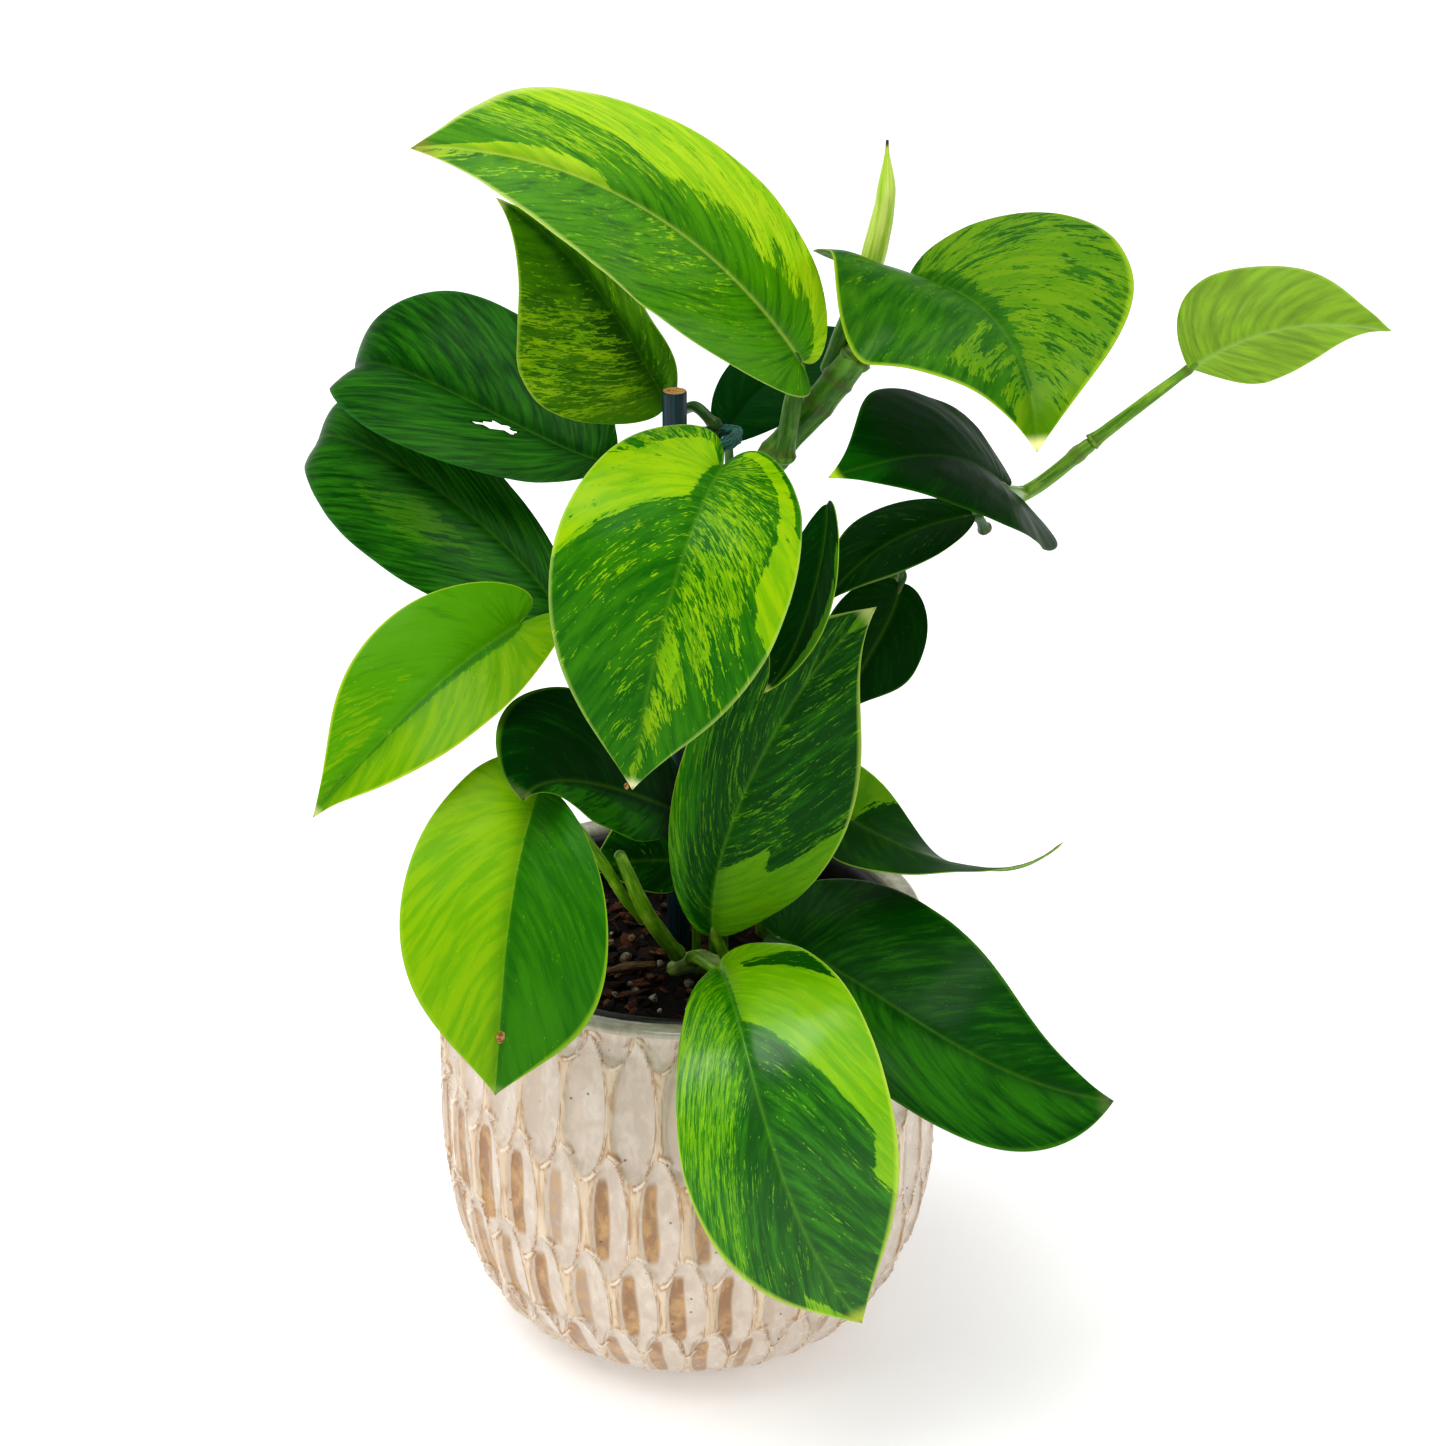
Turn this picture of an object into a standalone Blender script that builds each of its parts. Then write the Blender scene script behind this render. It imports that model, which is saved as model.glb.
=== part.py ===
"""Potted scindapsus: a glazed cachepot with a nursery pot, potting mix, cane, vines and leaves.

Units are metres, +Z up. The origin is the centre of the cachepot's flat base.
The tables below are in millimetres and degrees.
"""
import math
import bpy
import bmesh
import numpy as np
from mathutils import Vector

MM = 0.001
GAP = 0.0003            # clearance kept between neighbouring pieces

# ---- cachepot ----
POT_HEIGHT = 0.132
POT_BELLY_RADIUS = 0.075
POT_BELLY_HEIGHT = 0.0745
POT_RIM_RADIUS = 0.069
POT_RIM_INNER_RADIUS = 0.063
POT_BASE_RADIUS = 0.044
POT_BOWL_RADIUS = 0.0315     # radius the bowl curve starts from, inside the foot
POT_WALL = 0.0055
POT_FLOOR = 0.006
POT_STEPS = 40

# ---- nursery pot ----
NURSERY_TOP = 0.1305
NURSERY_LIP_RADIUS = 0.0618
NURSERY_TOP_RADIUS = 0.0592
NURSERY_BOTTOM_RADIUS = 0.0425
NURSERY_WALL = 0.0012
NURSERY_LIP_HEIGHT = 0.0045
NURSERY_STEPS = 32

# ---- potting mix ----
SOIL_TOP = 0.118

# ---- leaf shells ----
LEAF_ROWS = 10
LEAF_COLS = 3
LEAF_HALF_THICKNESS = 0.00045

# ---- leaf blades, all in millimetres and degrees ----
# mid   four points the midrib passes through: base, one third, two thirds, tip
# face  direction of the upper face at the base and at the tip
# w     half widths (left, right) seen from the base, upper face towards the viewer
# fold  how far each half rises from the midrib; curl: further bend to the margin
# lobe  how far the basal lobes reach back; wide: where each half is widest
# tip   fullness near the tip; base: squareness of the lobes; base_fold: fold at the base
LEAVES = {
 "a": dict(mid=((31,-15,306),(2,-24,341),(-31,-42,364),(-65,-62,374)), face=((.05,-.68,.75),(-.1,-.45,.85)), w=(33,33), fold=(14,14), curl=(-25,-25), lobe=(.13,.05), wide=(.6,.5), tip=(.8,.45), base=(.2,.55)),
 "b": dict(mid=((-5.9,30,279.7),(-17.6,24,304),(-31.7,17,325.6),(-50.5,9,344)), face=((-.1,-.8,.5),(-.2,-.7,.6)), w=(32,17.5), fold=(10,72), curl=(-15,-15), lobe=(.05,.03)),
 "c": dict(mid=((-22.5,20,265.8),(-52,38,272),(-87.5,60,281),(-98.5,84,262.4)), face=((.1,-.7,.7),(-.7,-.1,.5)), w=(24.5,31), fold=(30,16), curl=(-30,-30), lobe=(.08,.05), wide=(.5,.5)),
 "d": dict(mid=((-33,0,219),(-59.6,27,244.4),(-100,62,257.4),(-111.5,90,236)), face=((.1,-.8,.6),(-.8,-.1,.4)), w=(28,19), fold=(14,4), curl=(-30,-34), lobe=(.03,.03), wide=(.46,.62), base=(.55,.3)),
 "e": dict(mid=((10,-62,293),(0,-86,277),(-8,-92,247),(-13,-84,213)), face=((0,-.8,.6),(-.1,-.95,.3)), w=(29,32), fold=(10,10), curl=(-25,-25), lobe=(.15,.15)),
 "f": dict(mid=((-44,-40,241),(-62,-56,233),(-79,-66,219),(-98,-70,198)), face=((-.1,-.8,.6),(-.3,-.8,.5)), w=(18,22), fold=(14,14), curl=(-10,-10), lobe=(.18,.14), base=(.3,.3)),
 "g": dict(mid=((-38,-66,205),(-44,-86,186),(-47,-98,162),(-50,-98,130)), face=((-.2,-.75,.6),(0,-.97,.1)), w=(28,28.5), fold=(18,18), curl=(-15,-15), lobe=(.02,.13), wide=(.5,.4)),
 "h": dict(mid=((-2,-26,178),(-16,-42,192),(-31.6,-66,207),(-41,-85.5,210.5)), face=((.1,-.8,.6),(-.1,-.8,.6)), w=(13,27), fold=(8,8), curl=(-10,-20), lobe=(.05,.05), wide=(.3,.6), tip=(.5,.85)),
 "i": dict(mid=((1.5,-4,150.5),(-9.7,-9,154.1),(-19.8,-13,155.1),(-28.8,-16,154.6)), face=((0,-.8,.6),(-.1,-.8,.6)), w=(10,17), fold=(10,10), curl=(-10,-10), lobe=(.03,.03)),
 "j": dict(mid=((7.5,-36,145),(12,-38,178),(29,-34,214.5),(52,-28,241)), face=((-.1,-.93,.3),(.2,-.85,.4)), w=(21,30), fold=(10,10), curl=(-20,-20), lobe=(.03,.03), wide=(.62,.4)),
 "k": dict(mid=((38,-30,271),(36,-40,257),(30,-47,239),(21,-52,226)), face=((-.85,-.4,.3),(-.75,-.55,.3)), w=(13,15), fold=(16,16), curl=(-10,-10), lobe=(.03,.03), wide=(.45,.45)),
 "l": dict(mid=((9,-56,145),(17,-95,139),(28,-112,107),(48,-108,64)), face=((-.1,-.5,.85),(.1,-.97,.1)), w=(34,25), fold=(14,14), curl=(-25,-25), lobe=(.10,.02), wide=(.42,.54), tip=(.6,.45), base=(.5,.2)),
 "m": dict(mid=((25,-25,138),(54,-60,137.5),(83,-76,126.5),(118,-72,112)), face=((.2,-.6,.75),(.1,-.7,.7)), w=(31,23.5), fold=(14,12), curl=(-12,-20), lobe=(.14,.03), wide=(.22,.5), tip=(.45,1.05), base=(.8,.55)),
 "n": dict(mid=((60,-8,326),(77.5,-36,326),(85.5,-62,317),(88,-74,301)), face=((-.3,-.3,.9),(.05,-.75,.6)), w=(40,38), fold=(10,20), curl=(-20,-30), lobe=(.06,.29), base=(.4,.5), base_fold=(10,62)),
 "o": dict(mid=((87,-10,269.5),(70,-30,284.5),(53,-46,289),(37,-56,288)), face=((.1,-.5,.85),(0,-.5,.85)), w=(28,28.5), fold=(12,12), curl=(-25,-25), lobe=(.3,.14)),
 "p": dict(mid=((139.5,18,294),(157.5,14,305),(175,10,309),(192,6,308)), face=((.2,.75,.5),(.2,.75,.5)), w=(19,27), fold=(8,8), curl=(-20,-20), lobe=(.0,.0)),
 "q": dict(mid=((80,8,254),(65,0,253),(51,-8,248),(38,-14,236)), face=((-.3,-.5,.8),(-.3,-.5,.8)), w=(13,13), fold=(14,14), curl=(-20,-20), lobe=(.03,.03), wide=(.5,.5)),
 "r": dict(mid=((60.5,12,231),(56.5,4,222),(49.5,-2,211),(44,-6,198.5)), face=((.5,-.75,.4),(.5,-.75,.4)), w=(15,18), fold=(10,10), curl=(-10,-10), lobe=(.06,.06), wide=(.45,.45)),
 "s": dict(mid=((37,-7,172),(59,-21,166),(83,-34,164.5),(105,-38,175)), face=((-.2,-.6,.75),(0,.35,.93)), w=(15.5,15), fold=(-42,12), curl=(0,0), lobe=(.0,.0), wide=(.06,.25), tip=(-.05,.1), base=(.8,.55), base_fold=(12,12)),
 "t": dict(mid=((12,42,267),(25,48,281),(44,52,288),(63,50,290)), face=((-.1,-.8,.6),(0,-.6,.8)), w=(12,14), fold=(12,12), curl=(-15,-15), lobe=(.06,.06)),
}
# ---- stems and petioles: points along the axis (mm) and radii (mm) at the points ----
STEMS = {
 "support_cane":  (((-3,6,20),(-3,6,291)), (3.4,3.4)),
 "main_stem":     (((9,-4,104),(9,-5,150),(10,-6,200),(13,-6,244),(23,-6,274),(36,-6,291),(45,-6,303)), (3.0,3.0,3.0,3.2,4.0,4.2,4.2)),
 "left_vine":     (((14,22,104),(14,22,145),(6,21,175),(-6,20,200),(-17,20,225),(-22,21,242),(-23,22,257)), (2.8,2.8,2.7,2.6,2.4,2.2,2.0)),
 "back_vine":     (((8,13,104),(8,12,160),(7,11,220),(8,11,266),(8,12,276.5)), (2.6,2.5,2.4,2.3,2.0)),
 "right_vine":    (((22,12,104),(24,14,130),(34,18,165),(44,22,200),(58,24,228),(74,22,246),(96,18,257),(113,18,271)), (2.6,2.6,2.5,2.5,2.4,2.3,2.2,2.1)),
 "crown_stem":    (((14,-15,121.8),(9,-17,123.5),(2,-17,125),(-4,-16,122)), (2.9,3.0,3.2,2.4)),
 "leaf_sheath":   (((-3,-21,130),(-7,-27,139),(-12,-36,153),(-18,-45,174)), (2.2,2.3,2.3,1.7)),
 "aerial_root":   (((-24,-15,120.5),(-17,-13,121),(-10,-12,121)), (1.1,1.3,1.1)),
 "new_shoot":     (((48.5,2,322),(51,2,332),(53.5,2,346),(53.5,2,361)), (2.8,3.4,2.6,.4)),
 "shoot_sheath":  (((39,.3,299.2),(43,1,308),(47,2,317)), (2.4,3.2,3.4)),
}
PETIOLES = {
 "a": (((27,-13.4,281),(28.7,-13.2,292),(30.3,-13.4,302.8)), (2.6,2.6,2.0)),
 "b": (((7.2,13.3,279.6),(2.5,20.5,281.6),(-3,28.4,277.6)), (1.6,1.6,1.3)),
 "c": (((-23,21.5,259.5),(-22.8,21.2,262.6)), (1.6,1.5)),
 "d": (((-14,15.3,209),(-21,8,211),(-27,2,213),(-31.8,-.6,216.6)), (1.6,1.6,1.5,1.4)),
 "e": (((13,-13,256),(12,-30,272),(11,-48,285),(10.5,-59,291)), (1.8,1.7,1.6,1.4)),
 "f": (((-7,15.2,195),(-14,3,203),(-26,-15,219),(-41,-35,238)), (1.6,1.6,1.5,1.4)),
 "g": (((-12.8,-27.5,145.2),(-17.8,-35.5,156.6),(-24,-49,176),(-36,-63,202)), (1.5,1.6,1.6,1.4)),
 "h": (((3,-10,160),(1,-16,170),(-1,-23,176)), (1.6,1.5,1.4)),
 "i": (((2.5,-2.5,119.8),(2.6,-3.4,134),(2,-4,148)), (1.4,1.4,1.2)),
 "j": (((14,-27,120.2),(12,-31,131.5),(8.3,-34.8,143)), (1.8,1.7,1.5)),
 "k": (((17,-11,250),(25,-14,249),(35,-19.5,255.5),(38.2,-26.6,267.6)), (1.5,1.5,1.4,1.3)),
 "l": (((2,-23,129),(4,-38,137),(8,-52.4,142.4)), (1.9,1.7,1.5)),
 "m": (((20,-22,119),(22,-23,128),(24.5,-23,135)), (1.9,1.8,1.6)),
 "n": (((47,-6,305.5),(54,-6,315.5),(60,-7,324)), (3.6,3.0,2.2)),
 "o": (((94,14,258.3),(91.5,4,262.5),(88,-6,266.6)), (1.6,1.6,1.4)),
 "p": (((115,18,273),(127,18,283),(138,18,292)), (1.9,1.7,1.4)),
 "q": (((84,15,248),(82,11,252)), (1.5,1.3)),
 "r": (((60.5,20,233),(61.5,14,233)), (1.4,1.3)),
 "s": (((31,12,151),(34,4,161),(36.2,-5.2,170.4)), (1.5,1.4,1.2)),
 "t": (((10,15.4,259),(12,27,260),(12,39.6,265.2)), (1.5,1.4,1.2)),
}


# the tie is an oval loop round the cane and the back vine
TIE_CENTRE = (2.6, 8.6, 275.2)
TIE_HALF_LENGTH = 12.6
TIE_HALF_WIDTH = 6.9
TIE_HEADING = 25.6          # degrees, from +X
TIE_DROP = -0.04            # fall per millimetre along its length
TIE_RADIUS = 1.5


def clear_scene():
    for ob in list(bpy.data.objects):
        bpy.data.objects.remove(ob, do_unlink=True)


def material(name, colour, roughness, metallic=0.0):
    mat = bpy.data.materials.get(name) or bpy.data.materials.new(name)
    mat.use_nodes = True
    bsdf = mat.node_tree.nodes["Principled BSDF"]
    bsdf.inputs["Base Color"].default_value = (*colour, 1.0)
    bsdf.inputs["Roughness"].default_value = roughness
    bsdf.inputs["Metallic"].default_value = metallic
    mat.diffuse_color = (*colour, 1.0)
    return mat


def add_object(name, bm, mat, smooth=True, angle=40.0):
    bmesh.ops.recalc_face_normals(bm, faces=bm.faces)
    mesh = bpy.data.meshes.new(name)
    bm.to_mesh(mesh)
    bm.free()
    if smooth:
        mesh.shade_smooth()
        mesh.set_sharp_from_angle(angle=math.radians(angle))
    ob = bpy.data.objects.new(name, mesh)
    ob.data.materials.append(mat)
    bpy.context.collection.objects.link(ob)
    return ob


def turned(name, profile, steps, mat):
    """Solid of revolution about Z from a list of (radius, height), first and last on the axis."""
    bm = bmesh.new()
    verts = [bm.verts.new((r, 0.0, z)) for r, z in profile]
    edges = [bm.edges.new(pair) for pair in zip(verts, verts[1:])]
    bmesh.ops.spin(bm, geom=verts + edges, cent=(0, 0, 0), axis=(0, 0, 1),
                   angle=2 * math.pi, steps=steps, use_merge=True, use_duplicate=False)
    bmesh.ops.remove_doubles(bm, verts=bm.verts, dist=1e-6)
    return add_object(name, bm, mat)


def pot_outer(z):
    """Outer radius of the cachepot at height z."""
    if z < POT_BELLY_HEIGHT:
        t = z / POT_BELLY_HEIGHT
        return POT_BOWL_RADIUS + (POT_BELLY_RADIUS - POT_BOWL_RADIUS) * (1 - (1 - t) ** 2.48) ** (1 / 2.48)
    t = (z - POT_BELLY_HEIGHT) / (POT_HEIGHT - POT_BELLY_HEIGHT)
    return POT_BELLY_RADIUS - (POT_BELLY_RADIUS - POT_RIM_RADIUS) * t ** 2.36


def cachepot(mat):
    outer = [(0.0, 0.0), (POT_BASE_RADIUS, 0.0)]
    for z in (0.003, 0.008, 0.016, 0.028, 0.044, 0.060, 0.0745, 0.090, 0.106, 0.120, 0.1295):
        outer.append((pot_outer(z), z))
    lip = [(POT_RIM_RADIUS - 0.0012, POT_HEIGHT - 0.0004), (POT_RIM_RADIUS - 0.003, POT_HEIGHT),
           (POT_RIM_INNER_RADIUS + 0.0015, POT_HEIGHT), (POT_RIM_INNER_RADIUS, POT_HEIGHT - 0.0012)]
    inner = []
    for z in (0.120, 0.100, 0.080, 0.055, 0.032, 0.015):
        inner.append((min(pot_outer(z) - POT_WALL, pot_outer(z) - POT_WALL), z))
    inner += [(0.047, POT_FLOOR + 0.0015), (0.044, POT_FLOOR), (0.0, POT_FLOOR)]
    return turned("cachepot", outer + lip + inner, POT_STEPS, mat)


def nursery_radius(z):
    """Outer radius of the nursery pot's wall at height z."""
    z0 = POT_FLOOR + GAP
    t = (z - z0) / (NURSERY_TOP - z0)
    return NURSERY_BOTTOM_RADIUS + (NURSERY_TOP_RADIUS - NURSERY_BOTTOM_RADIUS) * t


def nursery_pot(mat):
    z0 = POT_FLOOR + GAP
    zl = NURSERY_TOP - NURSERY_LIP_HEIGHT
    w = NURSERY_WALL
    profile = [(0.0, z0), (NURSERY_BOTTOM_RADIUS - 0.001, z0), (NURSERY_BOTTOM_RADIUS, z0 + 0.001),
               (nursery_radius(0.065), 0.065), (nursery_radius(zl), zl), (NURSERY_LIP_RADIUS, zl),
               (NURSERY_LIP_RADIUS, NURSERY_TOP - 0.0006), (NURSERY_LIP_RADIUS - 0.0008, NURSERY_TOP),
               (nursery_radius(NURSERY_TOP) - w, NURSERY_TOP), (nursery_radius(0.065) - w, 0.065),
               (NURSERY_BOTTOM_RADIUS - w, z0 + w), (0.0, z0 + w)]
    return turned("nursery_pot", profile, NURSERY_STEPS, mat)


def bore(name, x, y, radius, bottom, top):
    """A round cutter, left out of the model."""
    bm = bmesh.new()
    bmesh.ops.create_cone(bm, cap_ends=True, segments=12, radius1=radius, radius2=radius, depth=top - bottom)
    bmesh.ops.translate(bm, verts=bm.verts, vec=(x, y, (top + bottom) / 2))
    ob = add_object(name, bm, bpy.data.materials["cutter"], smooth=False)
    ob.hide_render = True
    ob.display_type = "WIRE"
    return ob


def potting_mix(mat):
    z0 = POT_FLOOR + 2 * GAP + NURSERY_WALL
    inset = NURSERY_WALL + 2 * GAP
    profile = [(0.0, z0), (nursery_radius(z0) - inset, z0), (nursery_radius(0.065) - inset, 0.065),
               (nursery_radius(SOIL_TOP - 0.001) - inset, SOIL_TOP - 0.001),
               (nursery_radius(SOIL_TOP) - inset - 0.004, SOIL_TOP), (0.0, SOIL_TOP)]
    ob = turned("potting_mix", profile, NURSERY_STEPS, mat)
    for name in ("support_cane", "main_stem", "left_vine", "back_vine", "right_vine"):
        pts, radii = STEMS[name]
        (x0, y0, zb), (x1, y1, z1) = pts[0], pts[1]
        t = (118.0 - zb) / (z1 - zb)
        lean = math.hypot(x1 - x0, y1 - y0) * t
        cut = bore("bore_" + name, (x0 + (x1 - x0) * t / 2) * MM, (y0 + (y1 - y0) * t / 2) * MM,
                   (radii[0] / math.cos(math.pi / 12) + 0.6 + lean / 2) * MM, (zb - 0.8) * MM, SOIL_TOP + 0.01)
        mod = ob.modifiers.new(name, "BOOLEAN")
        mod.operation = "DIFFERENCE"
        mod.solver = "EXACT"
        mod.object = cut
    return ob


# ---- stems: tubes along smooth routes ----

def smooth_route(points, radii, per_span):
    """Catmull-Rom curve through the points, radii carried along."""
    p = np.array(points, float)
    r = np.array(radii, float)
    if len(p) == 2:
        u = np.linspace(0, 1, 4)
        return p[0] + (p[1] - p[0]) * u[:, None], r[0] + (r[1] - r[0]) * u
    ext = np.vstack([2 * p[0] - p[1], p, 2 * p[-1] - p[-2]])
    out, rad = [], []
    for i in range(len(p) - 1):
        a, b, c, d = ext[i:i + 4]
        for k in range(per_span):
            t = k / per_span
            out.append(0.5 * (2 * b + (c - a) * t + (2 * a - 5 * b + 4 * c - d) * t * t + (3 * b - a - 3 * c + d) * t ** 3))
            rad.append(r[i] + (r[i + 1] - r[i]) * t)
    out.append(p[-1])
    rad.append(r[-1])
    return np.array(out), np.array(rad)


def tube(name, points, radii, mat, per_span=3, sides_resolution=2, closed=False):
    curve = bpy.data.curves.new(name, "CURVE")
    curve.dimensions = "3D"
    curve.bevel_depth = 1.0 * MM
    curve.bevel_resolution = sides_resolution
    curve.use_fill_caps = not closed
    curve.resolution_u = 1
    if closed:
        pts, rad = np.array(points, float), np.array(radii, float)
    else:
        pts, rad = smooth_route(points, radii, per_span)
    spline = curve.splines.new("POLY")
    spline.points.add(len(pts) - 1)
    for sp, co, r in zip(spline.points, pts, rad):
        sp.co = (*(co * MM), 1.0)
        sp.radius = float(r)
    spline.use_cyclic_u = closed
    spline.use_smooth = True
    ob = bpy.data.objects.new(name, curve)
    ob.data.materials.append(mat)
    bpy.context.collection.objects.link(ob)
    return ob


def plant_tie(mat):
    cx, cy, cz = TIE_CENTRE
    h = math.radians(TIE_HEADING)
    pts = []
    for k in range(20):
        a = 2 * math.pi * k / 20
        u, v = TIE_HALF_LENGTH * math.cos(a), TIE_HALF_WIDTH * math.sin(a)
        pts.append((cx + u * math.cos(h) - v * math.sin(h), cy + u * math.sin(h) + v * math.cos(h), cz - TIE_DROP * u))
    return tube("plant_tie", pts, [TIE_RADIUS] * 20, mat, closed=True)


# ---- leaf blades ----

def unit(v):
    return v / np.maximum(np.linalg.norm(v, axis=-1, keepdims=True), 1e-12)


def cubic_through(p, u):
    """Cubic through four points at 0, 1/3, 2/3 and 1."""
    u = np.asarray(u, float)[:, None]
    knots = (0.0, 1 / 3, 2 / 3, 1.0)
    total = 0.0
    for i in range(4):
        term = np.asarray(p[i], float)
        weight = 1.0
        for j in range(4):
            if j != i:
                weight = weight * (u - knots[j]) / (knots[i] - knots[j])
        total = total + term * weight
    return total


def bezier(p, t):
    t = np.asarray(t, float)[:, None]
    p = [np.asarray(q, float) for q in p]
    return p[0] * (1 - t) ** 3 + 3 * p[1] * (1 - t) ** 2 * t + 3 * p[2] * (1 - t) * t * t + p[3] * t ** 3


class Blade:
    """A heart-shaped blade bent along its midrib."""

    def __init__(self, mid, face, w, fold, curl, lobe, wide=(.33, .33), tip=(.35, .35), base=(.55, .55), base_fold=None):
        self.u = np.linspace(0, 1, 97)
        line = cubic_through(mid, self.u)
        c = np.r_[0, np.cumsum(np.linalg.norm(np.diff(line, axis=0), axis=1))]
        self.length = c[-1]
        self.P = np.stack([np.interp(self.u, c / c[-1], line[:, k]) for k in range(3)], 1)
        self.T = unit(np.gradient(self.P, axis=0))
        up = (1 - self.u[:, None]) * np.array(face[0], float) + self.u[:, None] * np.array(face[1], float)
        self.N = unit(up - (up * self.T).sum(1, keepdims=True) * self.T)
        self.B = np.cross(self.T, self.N)
        self.w, self.fold, self.curl = w, np.radians(fold), np.radians(curl)
        self.base_fold = np.radians(fold if base_fold is None else base_fold)
        self.lobe, self.wide, self.tip, self.base = lobe, wide, tip, base

    def margin(self, v, k):
        """Flat outline: x as a fraction of the length, y of the half width."""
        lobe, wide, tip, q = self.lobe[k], self.wide[k], self.tip[k], self.base[k]
        a = 0.42
        rear = bezier([(0, 0), (-1.9 * lobe, .14), ((1 - q) * wide * .9 - lobe * .9, 1), (wide, 1)], np.clip(v / a, 0, 1))
        front = bezier([(wide, 1), (wide + .5 * (1 - wide), 1), (1 - .36 * (1 - wide), tip), (1, 0)],
                       np.clip((v - a) / (1 - a), 0, 1))
        return np.where((v < a)[:, None], rear, front)

    def at(self, x, y, k):
        """Point of the bent surface at flat (x, y) on side k: 0 left, 1 right."""
        side = (-1, 1)[k]
        xc = np.clip(x, 0, 1)

        def along(a):
            return np.stack([np.interp(xc, self.u, a[:, i]) for i in range(3)], -1)
        P, T, N, B = along(self.P), unit(along(self.T)), unit(along(self.N)), unit(along(self.B))
        P = P + T * (np.minimum(x, 0) * self.length)[..., None]
        e = np.clip(x / .5, 0, 1)
        e = e * e * (3 - 2 * e)
        f = self.base_fold[k] + (self.fold[k] - self.base_fold[k]) * e + 0 * y
        c = self.curl[k]
        if abs(c) < 1e-4:
            h, v = y * np.cos(f), y * np.sin(f)
        else:
            g = c / self.w[k]
            h, v = (np.sin(f + g * y) - np.sin(f)) / g, (np.cos(f) - np.cos(f + g * y)) / g
        return P + B * (side * h)[..., None] + N * v[..., None]

    def grid(self, rows, cols, k):
        v = np.linspace(0, 1, rows + 1)
        m = self.margin(v, k)
        t = np.linspace(0, 1, cols + 1)
        root = v ** 2
        X = root[:, None] + (m[:, 0] - root)[:, None] * t[None, :] ** 1.5
        Y = m[:, 1][:, None] * t[None, :] * self.w[k]
        return self.at(X, Y, k)


def blade_solid(name, spec, mat):
    """Lens-section shell: two skins that meet at the margin, thickest at the midrib."""
    leaf = Blade(**spec)
    rows, cols = LEAF_ROWS, LEAF_COLS
    left, right = leaf.grid(rows, cols, 0), leaf.grid(rows, cols, 1)
    # one sheet of points from the left margin over the midrib to the right margin
    sheet = np.concatenate([left[:, ::-1], right[:, 1:]], axis=1) * MM
    n = 2 * cols
    across = np.gradient(sheet, axis=1)
    along = np.gradient(sheet, axis=0)
    normal = unit(np.cross(along, across))
    normal[0] = normal[1]
    normal[-1] = normal[-2]
    bm = bmesh.new()
    base = bm.verts.new(sheet[0, cols])
    apex = bm.verts.new(sheet[rows, cols])
    skins = []
    margin = {}
    for sign in (1, -1):
        skin = {}
        for i in range(1, rows):
            for j in range(n + 1):
                if j in (0, n):
                    if (i, j) not in margin:
                        margin[i, j] = bm.verts.new(sheet[i, j])
                    skin[i, j] = margin[i, j]
                else:
                    edge = abs(j - cols) / cols
                    h = LEAF_HALF_THICKNESS * (1.3 - 0.5 * edge)
                    skin[i, j] = bm.verts.new(sheet[i, j] + normal[i, j] * (sign * h))
        skins.append(skin)
    for skin, flip in zip(skins, (False, True)):
        def face(vs):
            bm.faces.new(vs[::-1] if flip else vs)
        for j in range(n):
            face([base, skin[1, j + 1], skin[1, j]])
            face([apex, skin[rows - 1, j], skin[rows - 1, j + 1]])
        for i in range(1, rows - 1):
            for j in range(n):
                a, b, c, d = skin[i, j], skin[i, j + 1], skin[i + 1, j + 1], skin[i + 1, j]
                if j < cols:
                    face([a, b, d])
                    face([b, c, d])
                else:
                    face([a, b, c])
                    face([a, c, d])
    return add_object(name, bm, mat, angle=60)


def main():
    clear_scene()
    glaze = material("glazed_ceramic", (0.62, 0.52, 0.44), 0.22)
    black = material("black_plastic", (0.012, 0.012, 0.013), 0.45)
    soil = material("potting_mix", (0.035, 0.020, 0.013), 0.95)
    bark = material("cane_coat", (0.004, 0.035, 0.040), 0.5)
    tie = material("tie_fibre", (0.002, 0.085, 0.075), 0.9)
    stem = material("stem_green", (0.13, 0.26, 0.035), 0.4)
    root = material("root", (0.25, 0.17, 0.10), 0.8)
    shoot = material("shoot_green", (0.45, 0.62, 0.12), 0.35)
    material("cutter", (0.5, 0.5, 0.5), 0.5)

    cachepot(glaze)
    nursery_pot(black)
    potting_mix(soil)
    plant_tie(tie)
    special = {"support_cane": bark, "aerial_root": root, "new_shoot": shoot}
    for name, (pts, radii) in STEMS.items():
        tube(name, pts, radii, special.get(name, stem))
    for key, (pts, radii) in PETIOLES.items():
        tube("leaf_%s_petiole" % key, pts, radii, stem, per_span=2)
    for key, spec in LEAVES.items():
        dark = key in "cdhikmoqrst"
        blade = material("leaf_dark" if dark else "leaf_bright", (0.010, 0.085, 0.012) if dark else (0.16, 0.40, 0.02), 0.3)
        blade_solid("leaf_%s_blade" % key, spec, blade)


main()
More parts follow.
